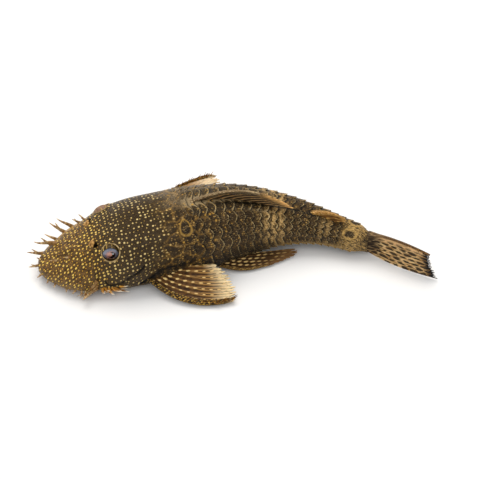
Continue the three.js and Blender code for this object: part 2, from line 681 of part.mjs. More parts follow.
addPart('head', headSolid(), HEAD_SKIN, 0.45);
addPart('sucker_mouth', mouthSolid(), 0xb9a07a, 0.5);
addPart('eye_left', ballAt(eyeFrame(-1).centre, EYE_RADIUS, 3), 0x8d8792, 0.15);
addPart('eye_right', ballAt(eyeFrame(1).centre, EYE_RADIUS, 3), 0x8d8792, 0.15);
addPart('trunk', trunkSolid(), SKIN, 0.45);
addPart('caudal_peduncle', tailSolid(), SKIN, 0.45);
addPart('dorsal_fin', cutFin(DORSAL), FIN, 0.5);
addPart('adipose_fin', cutFin(ADIPOSE), FIN, 0.5);
addPart('anal_fin', cutFin(ANAL), FIN, 0.5);
addPart('caudal_fin', cutFin(CAUDAL), FIN, 0.5);
addPart('pectoral_fin_left', pectoralSolid(PECTORAL_LEFT), FIN, 0.5);
addPart('pectoral_fin_right', pectoralSolid(PECTORAL_RIGHT), FIN, 0.5);
addPart('pelvic_fin_left', cutFin(pelvic(-1)), FIN, 0.5);
addPart('pelvic_fin_right', cutFin(pelvic(1)), FIN, 0.5);

// The origin is the middle of the bounding box's underside
const box = new THREE.Box3().setFromObject(fish);
fish.position.set(-(box.min.x + box.max.x) / 2, -(box.min.y + box.max.y) / 2, -box.min.z);

export default fish;
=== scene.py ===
"""Looks of a bristlenose pleco (Ancistrus), an adult male lying on its belly.

Millimetres until a mesh is made, then metres. Places on the fish are (s, lat, z): s along the
backbone from the snout tip, lat to the fish's right of the backbone and z above the ground.
"""

import math

import bpy
import numpy as np
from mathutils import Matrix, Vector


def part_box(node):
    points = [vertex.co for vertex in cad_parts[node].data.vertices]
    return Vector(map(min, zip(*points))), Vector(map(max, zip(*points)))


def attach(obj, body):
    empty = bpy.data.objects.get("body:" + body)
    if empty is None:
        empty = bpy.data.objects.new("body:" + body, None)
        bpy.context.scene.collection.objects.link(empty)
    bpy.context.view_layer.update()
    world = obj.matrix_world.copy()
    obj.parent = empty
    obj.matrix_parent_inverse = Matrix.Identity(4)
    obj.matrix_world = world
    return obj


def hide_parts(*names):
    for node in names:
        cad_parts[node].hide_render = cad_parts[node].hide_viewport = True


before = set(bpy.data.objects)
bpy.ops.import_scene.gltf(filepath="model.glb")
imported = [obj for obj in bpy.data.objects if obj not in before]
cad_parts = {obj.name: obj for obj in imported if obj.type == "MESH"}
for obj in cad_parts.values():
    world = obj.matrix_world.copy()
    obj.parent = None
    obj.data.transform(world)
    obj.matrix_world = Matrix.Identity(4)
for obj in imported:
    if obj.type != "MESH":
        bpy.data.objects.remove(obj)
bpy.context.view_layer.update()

MM = 0.001
DEG = math.pi / 180
LEFT, RIGHT = -1, 1
SIDES = (LEFT, RIGHT)

# Driving dimensions, the same as the solids'
STANDARD_LENGTH = 88.0
SNOUT = (-51.3, -5.4)
CHEEK_CUT = 25.5
CUT_SLOPE = 0.52
HEADING = [(0, 24), (7, 14.5), (30, 15), (45, 18), (60, 3), (75, -16), (88, -27), (108, -30)]
# s, half width, top, height of the widest point, underside
SECTIONS = [
    (0, 0, 3.4, 2.5, 2.0),
    (0.8, 2.9, 4.1, 2.3, 1.6),
    (2.2, 4.8, 5.0, 2.2, 1.4),
    (5, 7.4, 6.7, 2.2, 1.3),
    (9, 9.7, 9.3, 2.5, 1.3),
    (14, 11.0, 12.2, 3.4, 1.2),
    (20, 11.6, 14.7, 4.9, -0.2),
    (27, 11.9, 15.6, 5.8, -0.3),
    (34, 11.7, 16.0, 6.0, -0.3),
    (42, 10.8, 16.2, 6.2, -0.3),
    (50, 9.6, 15.3, 6.2, -0.2),
    (58, 8.3, 13.2, 5.8, 0.8),
    (66, 6.6, 10.8, 5.2, 1.7),
    (74, 4.9, 8.7, 4.6, 1.6),
    (82, 3.9, 7.1, 4.1, 1.0),
    (88, 3.4, 6.9, 3.8, 0.7),
]


# Small maths
def mix(a, b, t):
    return a + (b - a) * t


def smooth(value, low, high):
    t = np.clip((value - low) / (high - low), 0, 1)
    return t * t * (3 - 2 * t)


def unit(v):
    v = np.asarray(v, float)
    return v / np.maximum(np.linalg.norm(v, axis=-1, keepdims=True), 1e-12)


def monotone_curve(table, column):
    """A curve through the rows that never overshoots: column 0 is the place."""
    x = np.array([row[0] for row in table], float)
    y = np.array([row[column] for row in table], float)
    gap = np.diff(x)
    rise = np.diff(y) / gap
    slope = np.zeros(len(x))
    slope[0], slope[-1] = rise[0], rise[-1]
    for i in range(1, len(x) - 1):
        if rise[i - 1] * rise[i] > 0:
            a = 2 * gap[i] + gap[i - 1]
            b = gap[i] + 2 * gap[i - 1]
            slope[i] = (a + b) / (a / rise[i - 1] + b / rise[i])

    def curve(place_on_it):
        at = np.clip(place_on_it, x[0], x[-1])
        i = np.clip(np.searchsorted(x, at, side="right") - 1, 0, len(x) - 2)
        w = gap[i]
        t = (at - x[i]) / w
        return (
            y[i] * (1 + 2 * t) * (1 - t) ** 2
            + slope[i] * w * t * (1 - t) ** 2
            + y[i + 1] * t * t * (3 - 2 * t)
            + slope[i + 1] * w * t * t * (t - 1)
        )

    return curve


# Backbone and body sections
STEP = 0.25
heading_at = monotone_curve(HEADING, 1)
stations = np.arange(0, 120, STEP)
turns = heading_at(stations + STEP / 2) * DEG
spine_s = np.append(stations, stations[-1] + STEP)
spine_x = SNOUT[0] + np.append(0, np.cumsum(np.cos(turns)) * STEP)
spine_y = SNOUT[1] + np.append(0, np.cumsum(np.sin(turns)) * STEP)
half_width, top_at, wide_at, under_at = [monotone_curve(SECTIONS, i) for i in (1, 2, 3, 4)]


def place(s, lat, z):
    s, lat, z = np.broadcast_arrays(*[np.asarray(v, float) for v in (s, lat, z)])
    x = np.interp(s, spine_s, spine_x)
    y = np.interp(s, spine_s, spine_y)
    angle = heading_at(s) * DEG
    ahead = np.minimum(s, 0)
    return np.stack(
        [
            x + np.cos(angle) * ahead - np.sin(angle) * lat,
            y + np.sin(angle) * ahead + np.cos(angle) * lat,
            z,
        ],
        -1,
    )


def top_power(s):
    return mix(2.15, 2.5, smooth(s, 14, 36))


def section(s, theta):
    """Lateral place and height on the body's section, theta counted from the fish's right, up."""
    c, q = np.cos(theta), np.sin(theta)
    power = 2 / np.where(q >= 0, top_power(s), mix(4.5, 3.2, smooth(s, 55, 80)))
    wide = wide_at(s)
    reach = np.where(q >= 0, top_at(s) - wide, wide - under_at(s))
    return (
        half_width(s) * np.sign(c) * np.abs(c) ** power,
        wide + reach * np.sign(q) * np.abs(q) ** power,
    )


def surface_height(s, lat):
    share = np.clip(np.abs(lat) / half_width(s), 0, 1)
    power = top_power(s)
    return wide_at(s) + (top_at(s) - wide_at(s)) * (1 - share**power) ** (1 / power)


def up_to_theta(up, side):
    return up * DEG if side > 0 else math.pi - up * DEG


def on_body(s, up, side, lift=0.0):
    """A point of the body's surface, up degrees above its widest line on one side."""
    theta = up_to_theta(up, side)
    lat, z = section(s, theta)
    lat2, z2 = section(s, theta + 0.02)
    lat1, z1 = section(s, theta - 0.02)
    out = unit([z2 - z1, lat1 - lat2])
    return place(s, lat + out[0] * lift, z + out[1] * lift)


# Eyes: the ball's centre, the way it looks, and the way the socket faces
EYE_PLACE = {LEFT: (17.9, -6.9, 10.6), RIGHT: (18.6, 6.8, 11.1)}
EYE_RADIUS = 2.05
GAZE_UP, GAZE_FORWARD = 6 * DEG, 10 * DEG
SOCKET_UP = 46 * DEG


def eye_frame(side):
    s, lat, z = EYE_PLACE[side]
    centre = place(s, lat, z)
    outward = unit(place(s, side * 20, z) - centre)
    forward = unit(place(s - 5, lat, z) - centre)
    up = np.array([0, 0, 1.0])
    gaze = unit(
        outward * math.cos(GAZE_UP) * math.cos(GAZE_FORWARD)
        + forward * math.sin(GAZE_FORWARD) * math.cos(GAZE_UP)
        + up * math.sin(GAZE_UP)
    )
    socket = unit(outward * math.cos(SOCKET_UP) + up * math.sin(SOCKET_UP) + forward * 0.08)
    return centre, gaze, socket


# The solids' frame is these places moved by SHIFT, read from where the left eye is
eye_low, eye_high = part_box("eye_left")
SHIFT = np.array((eye_low + eye_high) / 2) / MM - eye_frame(LEFT)[0]


# Materials
def rgb(code):
    """A colour written as a web code, as Blender's linear values."""
    parts = [int(code[i : i + 2], 16) / 255 for i in (0, 2, 4)]
    linear = [p / 12.92 if p <= 0.04045 else ((p + 0.055) / 1.055) ** 2.4 for p in parts]
    return (*linear, 1.0)


def scatter(share, radius, scale):
    """Light that spreads under the skin: its share, reach by colour, and scale in millimetres."""
    return dict(Subsurface_Weight=share, Subsurface_Radius=radius, Subsurface_Scale=scale * MM)


class Value:
    """A node's output. Sums, products and ramps of it are nodes of the same material."""

    def __init__(self, shader, socket):
        self.shader, self.socket = shader, socket

    def __add__(self, other):
        return self.shader.math("ADD", self, other)

    def __sub__(self, other):
        return self.shader.math("SUBTRACT", self, other)

    def __rsub__(self, other):
        return self.shader.math("SUBTRACT", other, self)

    def __mul__(self, other):
        return self.shader.math("MULTIPLY", self, other)

    def __truediv__(self, other):
        return self.shader.math("DIVIDE", self, other)

    def __abs__(self):
        return self.shader.math("ABSOLUTE", self)

    __radd__ = __add__

    def ramp(self, low, high, start=0.0, end=1.0):
        """A smooth change from start, where this value is low, to end, where it is high."""
        inputs = {"Value": self, "From Min": low, "From Max": high, "To Min": start, "To Max": end}
        return self.shader.add("MapRange", inputs, interpolation_type="SMOOTHSTEP")[0]

    def lay(self, share, colour):
        """Covers this colour with another one by a share."""
        self.socket = self.shader.blend(share, self, colour).socket


class Shader:
    """A material and short ways to add nodes to it. Colours are web codes, pairs are places."""

    def __init__(self, name, **sockets):
        self.material = bpy.data.materials.new(name)
        self.material.use_nodes = True
        self.tree = self.material.node_tree
        self.tree.nodes.clear()
        self.out = self.tree.nodes.new("ShaderNodeOutputMaterial")
        self.skin = self.tree.nodes.new("ShaderNodeBsdfPrincipled")
        self.tree.links.new(self.skin.outputs[0], self.out.inputs[0])
        for socket, value in sockets.items():
            self.skin.inputs[socket.replace("_", " ")].default_value = value

    def put(self, socket, value):
        if isinstance(value, str):
            value = rgb(value)
        if isinstance(value, tuple) and isinstance(value[0], Value):
            value = self.combine(*value)
        if isinstance(value, Value):
            self.tree.links.new(value.socket, socket)
        else:
            socket.default_value = value

    def add(self, kind, inputs=(), **settings):
        """Adds a node and gives its outputs."""
        node = self.tree.nodes.new("ShaderNode" + kind)
        for key, value in settings.items():
            setattr(node, key, value)
        for key, value in dict(inputs).items():
            self.put(node.inputs[key], value)
        return [Value(self, output) for output in node.outputs]

    def attribute(self, name):
        return self.add("Attribute", attribute_name=name)[1]

    def split(self, vector):
        return self.add("SeparateXYZ", {0: vector})

    def combine(self, x, y):
        return self.add("CombineXYZ", {0: x, 1: y})[0]

    def math(self, operation, a, b=0.0):
        return self.add("Math", {0: a, 1: b}, operation=operation)[0]

    def length(self, x, y):
        return self.math("SQRT", x * x + y * y)

    def blend(self, share, a, b):
        return self.add("Mix", {0: share, 6: a, 7: b}, data_type="RGBA")[2]

    def noise(self, vector, scale, detail=3.0, roughness=0.55):
        inputs = {"Vector": vector, "Scale": scale, "Detail": detail, "Roughness": roughness}
        return self.add("TexNoise", inputs)[0]

    def random(self, vector, dimensions="2D"):
        key = "W" if dimensions == "1D" else "Vector"
        return self.add("TexWhiteNoise", {key: vector}, noise_dimensions=dimensions)[0]

    def cells(self, vector, randomness, scale=1.0, feature="F1"):
        """Distance and random colour of the nearest cell, or the distance to the cells' edges."""
        inputs = {"Vector": vector, "Scale": scale, "Randomness": randomness}
        return self.add("TexVoronoi", inputs, voronoi_dimensions="2D", feature=feature)

    def bump(self, height, distance, strength=1.0):
        inputs = {"Height": height, "Distance": distance, "Strength": strength}
        self.put(self.skin.inputs["Normal"], self.add("Bump", inputs)[0])

    def colour(self, value):
        self.put(self.skin.inputs["Base Color"], value)

    def rough(self, value):
        self.put(self.skin.inputs["Roughness"], value)

    def spots(self, vector, radius, spread, soft=0.07, randomness=0.54, grow=0.0):
        """Round spots, one in each cell: their mask, two random numbers each, and a ring round them."""
        distance, colour = self.cells(vector, randomness)[:2]
        random, chance, _ = self.split(colour)
        size = random * spread + (radius - spread / 2) + grow
        mask = distance.ramp(size - soft, size + soft, 1, 0)
        ring = distance.ramp(size + soft, size + 0.2, 1, 0)
        return mask, random, chance, ring


# Mesh building
def add_mesh(name, points, faces, material, slot, replaces=(), marks=None, sharp=None):
    mesh = bpy.data.meshes.new(name)
    points = np.asarray(points, float).reshape(-1, 3)
    mesh.from_pydata(((points + SHIFT) * MM).tolist(), [], [list(face) for face in faces])
    mesh.polygons.foreach_set("use_smooth", np.ones(len(mesh.polygons), bool))
    for key, values in (marks or {}).items():
        attribute = mesh.attributes.new(key, "FLOAT_VECTOR", "POINT")
        attribute.data.foreach_set("vector", np.asarray(values, np.float32).ravel())
    if sharp:
        mesh.set_sharp_from_angle(angle=sharp * DEG)
    mesh.materials.append(material)
    mesh.update()
    piece = bpy.data.objects.new(name, mesh)
    bpy.context.scene.collection.objects.link(piece)
    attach(piece, "root")
    if replaces:
        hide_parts(*replaces)
    return piece


def loft(grid, joined=False):
    """Points and faces over rings of points, (rings, around, 3): capped, or joined end to end."""
    rings, around = grid.shape[:2]
    index = np.arange(rings * around).reshape(rings, around)
    if joined:
        index = np.vstack([index, index[:1]])
    after = np.roll(index, -1, axis=1)
    faces = np.stack([index[:-1], after[:-1], after[1:], index[1:]], -1).reshape(-1, 4)
    points = grid.reshape(-1, 3)
    a, b, c, d = [points[faces[:, k]] for k in range(4)]
    volume = np.sum(a * np.cross(b, c)) + np.sum(a * np.cross(c, d))
    faces = faces.tolist()
    if not joined:
        points = np.vstack([points, grid[0].mean(0), grid[-1].mean(0)])
        first, last = rings * around, rings * around + 1
        caps = [[after[0, k], index[0, k], first] for k in range(around)]
        caps += [[index[-1, k], after[-1, k], last] for k in range(around)]
        a, b, c = [points[[face[k] for face in caps]] for k in range(3)]
        volume += np.sum(a * np.cross(b, c))
        faces += caps
    return points, faces if volume > 0 else [face[::-1] for face in faces]


class Heap:
    """Collects many small closed shapes for one mesh, each point with its marks."""

    def __init__(self):
        self.points, self.faces, self.marks, self.count = [], [], [], 0

    def take(self, points, faces, marks):
        self.points.append(points)
        self.faces += [[k + self.count for k in face] for face in faces]
        self.marks.append(np.broadcast_to(marks, (len(points), 3)))
        self.count += len(points)

    def mesh(self, name, material, slot, key="along", **more):
        marks = {key: np.vstack(self.marks)}
        return add_mesh(name, np.vstack(self.points), self.faces, material, slot, marks=marks, **more)


def cross_frame(tangents):
    """Two unit vectors across each tangent."""
    helper = np.where(np.abs(tangents[:, 2:3]) > 0.93, [[1.0, 0, 0]], [[0, 0, 1.0]])
    across = unit(np.cross(helper, tangents))
    return across, np.cross(tangents, across)


def tube(path, radii, sides=10, flatten=1.0):
    """A closed round tube along a path, radii given at each point."""
    path = np.asarray(path, float)
    tangents = unit(np.gradient(path, axis=0))
    across, up = cross_frame(tangents)
    angles = np.arange(sides) / sides * 2 * math.pi
    radii = np.asarray(radii, float)[:, None, None]
    grid = path[:, None] + radii * (
        np.cos(angles)[None, :, None] * across[:, None]
        + np.sin(angles)[None, :, None] * up[:, None] * flatten
    )
    return loft(grid)


def cones(name, roots, directions, lengths, radii, material, slot, sides=4):
    """Many tiny straight spines in one mesh."""
    roots, directions = np.asarray(roots, float), unit(directions)
    lengths, radii = np.asarray(lengths, float), np.asarray(radii, float)
    across, up = cross_frame(directions)
    angles = np.arange(sides) / sides * 2 * math.pi
    ring = roots[:, None] + radii[:, None, None] * (
        np.cos(angles)[None, :, None] * across[:, None] + np.sin(angles)[None, :, None] * up[:, None]
    )
    tips = (roots + directions * lengths[:, None])[:, None]
    points = np.concatenate([ring, tips], axis=1).reshape(-1, 3)
    base = np.arange(len(roots))[:, None] * (sides + 1)
    faces = []
    for k in range(sides):
        after = (k + 1) % sides
        faces += (base + np.array([[k, after, sides]])).tolist()
    faces += (base + np.arange(sides)[::-1][None]).tolist()
    along = np.zeros((len(roots), sides + 1, 3))
    along[:, sides, 0] = 1
    along[:, :, 1] = np.random.default_rng(len(roots)).random((len(roots), 1))
    return add_mesh(name, points, faces, material, slot, marks={"along": along.reshape(-1, 3)})


# Skin: one surface over head, trunk and tail
PLATE_RINGS = 25
PLATE_ROWS = 6
PLATE_SAMPLES = 15
PLATE_SHRINK = 0.983
PLATE_RISE = 0.36
PLATE_POINT = 0.34
PLATE_COLUMNS = (0, 0.025, 0.08, 0.17, 0.28, 0.4, 0.52, 0.64, 0.76, 0.87, 0.945, 0.985)
BELLY_SAMPLES = 30
ROWS_TOP, ROWS_END = 87, -40
MID_FLANK = 8.0
HEAD_COLUMNS = 150
PLATE_EDGE_SPINES, PLATE_FACE_SPINES = 6, 8

ring_length = (STANDARD_LENGTH - CHEEK_CUT - CUT_SLOPE * MID_FLANK) / sum(
    PLATE_SHRINK**i for i in range(PLATE_RINGS)
)
ring_starts = (
    CHEEK_CUT
    + CUT_SLOPE * MID_FLANK
    + np.append(0, np.cumsum([ring_length * PLATE_SHRINK**i for i in range(PLATE_RINGS)]))
)


def around_body():
    """Angles round a section, with each one's place across its row of plates, 2 off the rows."""
    steps = PLATE_ROWS * PLATE_SAMPLES
    k = np.arange(steps + 1)
    right = mix(ROWS_TOP, ROWS_END, k / steps) * DEG
    across = (k % PLATE_SAMPLES) / PLATE_SAMPLES * 2 - 1
    row = np.minimum(k // PLATE_SAMPLES, PLATE_ROWS - 1)
    share = np.arange(1, BELLY_SAMPLES + 1) / (BELLY_SAMPLES + 1)
    belly = mix(ROWS_END, -180 - ROWS_END, share) * DEG
    theta = np.concatenate([right, belly, (math.pi - right)[::-1]])
    across = np.concatenate([across, np.full(BELLY_SAMPLES, 2.0), across[::-1]])
    row = np.concatenate([row, np.full(BELLY_SAMPLES, PLATE_ROWS), row[::-1]])
    return theta, across, row


THETA, ACROSS, ROW = around_body()
ON_ROWS = ACROSS < 1.5


def skin_stations():
    """s for every ring and angle of the skin, and the plate place of every ring."""
    theta = THETA[None]
    height = section(30, theta)[1]
    reach = np.where(ON_ROWS, -PLATE_POINT * np.abs(ACROSS) ** 1.5, 0)[None]
    head_line = CHEEK_CUT + CUT_SLOPE * np.maximum(height, 0) + reach * ring_length
    even = 20.0
    head = []
    for k in range(HEAD_COLUMNS):
        t = k / HEAD_COLUMNS
        if t < 0.7:
            head.append(np.full_like(theta, 0.02 + even * (t / 0.7) ** 1.25))
        else:
            head.append(mix(even + 0.02, head_line, (t - 0.7) / 0.3))
    plates, along, ring_of = [], [], []
    for i in range(PLATE_RINGS):
        length = ring_starts[i + 1] - ring_starts[i]
        for a in PLATE_COLUMNS:
            slant = CUT_SLOPE * (height - MID_FLANK) * (1 - smooth(i + a, 0, 6))
            tail_end = 1 - smooth(i + a, PLATE_RINGS - 1.5, PLATE_RINGS)
            plates.append(ring_starts[i] + (a + reach * tail_end) * length + slant)
            along.append(a)
            ring_of.append(i + a)
    s = np.vstack(head + plates)
    along = np.append(np.full(HEAD_COLUMNS, 0.5), along)
    head_ring = np.interp(np.arange(HEAD_COLUMNS) / HEAD_COLUMNS, [0, 0.85, 1], [-4, -1.5, 0])
    return s, along, np.append(head_ring, ring_of)


def polyline_distance(points, line):
    """Distance of each point to the nearest place of a line of points."""
    best = np.full(points.shape[:-1], 1e9)
    for a, b in zip(line[:-1], line[1:]):
        d = b - a
        t = np.clip(((points - a) @ d) / (d @ d), 0, 1)
        best = np.minimum(best, np.linalg.norm(points - (a + t[..., None] * d), axis=-1))
    return best


NOSTRIL = (14.5, 4.6)
FLAP = (13.1, 3.6)
GILL_SLIT = [
    (15.3, 9), (15.7, 3), (16.8, -1), (19.5, -1), (21.6, 2), (24.0, 6), (25.2, 12), (26.1, 18), (26.9, 30),
]
GILL_EDGE = [(15.0, 12), (16.6, 4), (19.4, 5), (21.4, 8), (23.6, 12), (24.6, 18), (25.2, 30)]
GILL_CAVITY = [(24.6, -14), (25.6, -8), (27.2, -3), (29.2, 0), (33.0, 1), (36.4, 2)]
MOUTH_FOLD = [(13.9, 26), (13.5, 12), (13.3, 0), (13.0, -14)]
SNOUT_RIDGE = [(6.0, 88), (8.2, 84), (10.4, 79)]
SNOUT_CREASE = [(4.4, 86), (6.6, 79), (8.8, 77)]
SOCKET_HOLE = 2.1
DROP_S, DROP_ASIDE = 37.0, 7.95


def head_relief(points, s):
    """How far the head's skin stands out or in, and painted shade for its grooves, pits and hollows."""
    lift = np.zeros(s.shape)
    painted_hollow_shade = np.zeros(s.shape)
    near = s < 36
    at = points[near]
    rise = np.zeros(len(at))
    # shade is painted shade, darkest in the nostril pits, gill slits and cavities, mouth folds and snout
    # crease
    shade = np.zeros(len(at))

    def dome(centre, height, radius):
        return height * np.exp(-((np.linalg.norm(at - centre, axis=-1) / radius) ** 2))

    def furrow(path, side, height, radius):
        line = np.array([on_body(a, up, side) for a, up in path])
        return height * np.exp(-((polyline_distance(at, line) / radius) ** 2))

    for side in SIDES:
        pit = place(NOSTRIL[0], side * NOSTRIL[1], surface_height(*NOSTRIL))
        rise += dome(pit, -1.1, 0.62) + dome(pit, 0.35, 1.5)
        shade += dome(pit, 1.6, 0.62)
        rise += dome(on_body(18.0, 2, side), 0.35, 2.6)
        rise += dome(on_body(21.5, 16, side), 0.3, 3.4)
        rise += dome(on_body(13.0, 40, side), -0.3, 2.4)
        rise += dome(on_body(25.0, 55, side), 0.2, 4.5)
        rise += furrow(GILL_SLIT, side, -0.45, 0.26)
        shade += furrow(GILL_SLIT[:7], side, 1.3, 0.3)
        rise += furrow(GILL_EDGE, side, 0.3, 0.35)
        shade += furrow(GILL_CAVITY, side, 1.5, 0.5)
        rise += furrow(GILL_CAVITY, side, -0.5, 0.5)
        rise += furrow(MOUTH_FOLD, side, -0.3, 0.4)
        shade += furrow(MOUTH_FOLD, side, 0.35, 0.3)
    rise += furrow(SNOUT_RIDGE, LEFT, 0.26, 0.6)
    rise += furrow(SNOUT_CREASE, LEFT, -0.24, 0.35)
    shade += furrow(SNOUT_CREASE, LEFT, 0.4, 0.3)
    rise += dome(place(24.0, 0, top_at(24.0)), 0.22, 4.0)
    rise += dome(place(17.5, 0, top_at(17.5)), -0.3, 3.2)
    lift[near] = rise
    painted_hollow_shade[near] = np.clip(shade, 0, 1)
    return lift, painted_hollow_shade


def eye_sockets(points, s):
    """Raises the skin round each eye and sinks a hole behind the ball, along the socket's axis."""
    near = s < 36
    at = points[near]
    for side in SIDES:
        centre, _, socket = eye_frame(side)
        v = at - centre
        t = v @ socket
        rho = np.linalg.norm(v - t[:, None] * socket, axis=-1)
        raised = t + 0.12 * np.exp(-(((rho - 2.3) / 0.7) ** 2)) + 0.12 * np.exp(-((rho / 3.4) ** 2))
        sunk = np.minimum(t, 0.4)
        new = mix(sunk, raised, smooth(rho, SOCKET_HOLE - 0.18, SOCKET_HOLE + 0.02))
        new = np.where((t > 0) & (rho < 7), new, t)
        at = at + (new - t)[:, None] * socket
    points[near] = at
    return points


def skin_normals(points):
    """Outward unit normals of the ring grid."""
    along = np.gradient(points, axis=0)
    around = np.roll(points, -1, axis=1) - np.roll(points, 1, axis=1)
    normal = unit(np.cross(around, along))
    middle = points.mean(axis=1, keepdims=True)
    if np.sum((points - middle) * normal) < 0:
        normal = -normal
    return normal


def dot_space(s, arc):
    """Places in units of the dots' spacing, which grows from the snout to the nape."""
    table = np.arange(0, 100, 0.25)
    spacing = mix(0.93, 1.12, smooth(table, 13, 24))
    count = np.append(0, np.cumsum(0.25 / spacing))[:-1]
    return np.interp(s, table, count), arc / np.interp(s, table, spacing)


def build_skin(material):
    s, along, ring_of = skin_stations()
    ring = ring_of[:, None]
    lat, z = section(s, THETA[None])
    lat = lat * mix(1, 0.45, smooth(s, 83.5, STANDARD_LENGTH))
    points = place(s, lat, z)
    step = np.linalg.norm(np.diff(points, axis=1, append=points[:, :1]), axis=-1)
    arc = np.cumsum(step, axis=1) - step
    half = len(THETA) // 2
    total = arc[:, -1:] + step[:, -1:]
    arc = np.where(np.arange(len(THETA))[None] > half, arc - total, arc) + step[:, -1:] / 2
    normal = skin_normals(points)
    lift, painted_hollow_shade = head_relief(points, s)
    crown = np.where(ON_ROWS, 1 - 0.82 * ACROSS**2, 0)[None]
    rise = np.interp(along, [0, 0.06, 0.5, 0.9, 0.96, 0.985], [0, 0.02, 0.5, 0.94, 1.0, 0.97])[:, None]
    strength = smooth(ring, -0.4, 4.0) * np.minimum(1, half_width(s) / 5)
    strength = strength * (1 - smooth(ring, PLATE_RINGS - 2.0, PLATE_RINGS))
    strength = strength * mix(0.45, 1, smooth(np.abs(arc), 1.5, 4.5))
    plates = PLATE_RISE * rise * crown * strength
    points = points + normal * (lift + plates * (ring >= 0))[..., None]
    points = eye_sockets(points, s)
    points[..., 2] = np.maximum(points[..., 2], 0.02)
    dots_x, dots_y = dot_space(s, arc)
    zone = np.broadcast_to(smooth(ring, -1.0, 0.6), s.shape) * ON_ROWS[None]
    belly = np.broadcast_to(~ON_ROWS[None], s.shape).astype(float)
    draws = np.random.default_rng(17).random((PLATE_RINGS + 2, 2 * PLATE_ROWS + 1))
    row = np.where(np.arange(len(THETA)) > half, 2 * PLATE_ROWS - ROW, ROW)
    draw = draws[np.maximum(np.floor(ring_of + 1), 0).astype(int)[:, None], row[None]]
    marks = {
        "place": np.stack([s, arc, z], -1),
        "plate": np.stack(
            [np.broadcast_to(along[:, None], s.shape), np.broadcast_to(ACROSS[None], s.shape), zone], -1
        ),
        "dots": np.stack([dots_x, dots_y, draw], -1),
        "shade": np.stack([painted_hollow_shade, belly, np.broadcast_to(ring, s.shape)], -1),
    }
    closed, faces = loft(points)
    for key, values in marks.items():
        flat = values.reshape(-1, 3)
        marks[key] = np.vstack([flat, flat[0], flat[-1]])
    add_mesh("skin", closed, faces, material, "plates", ("head", "trunk", "caudal_peduncle"), marks, 55)
    return points, normal


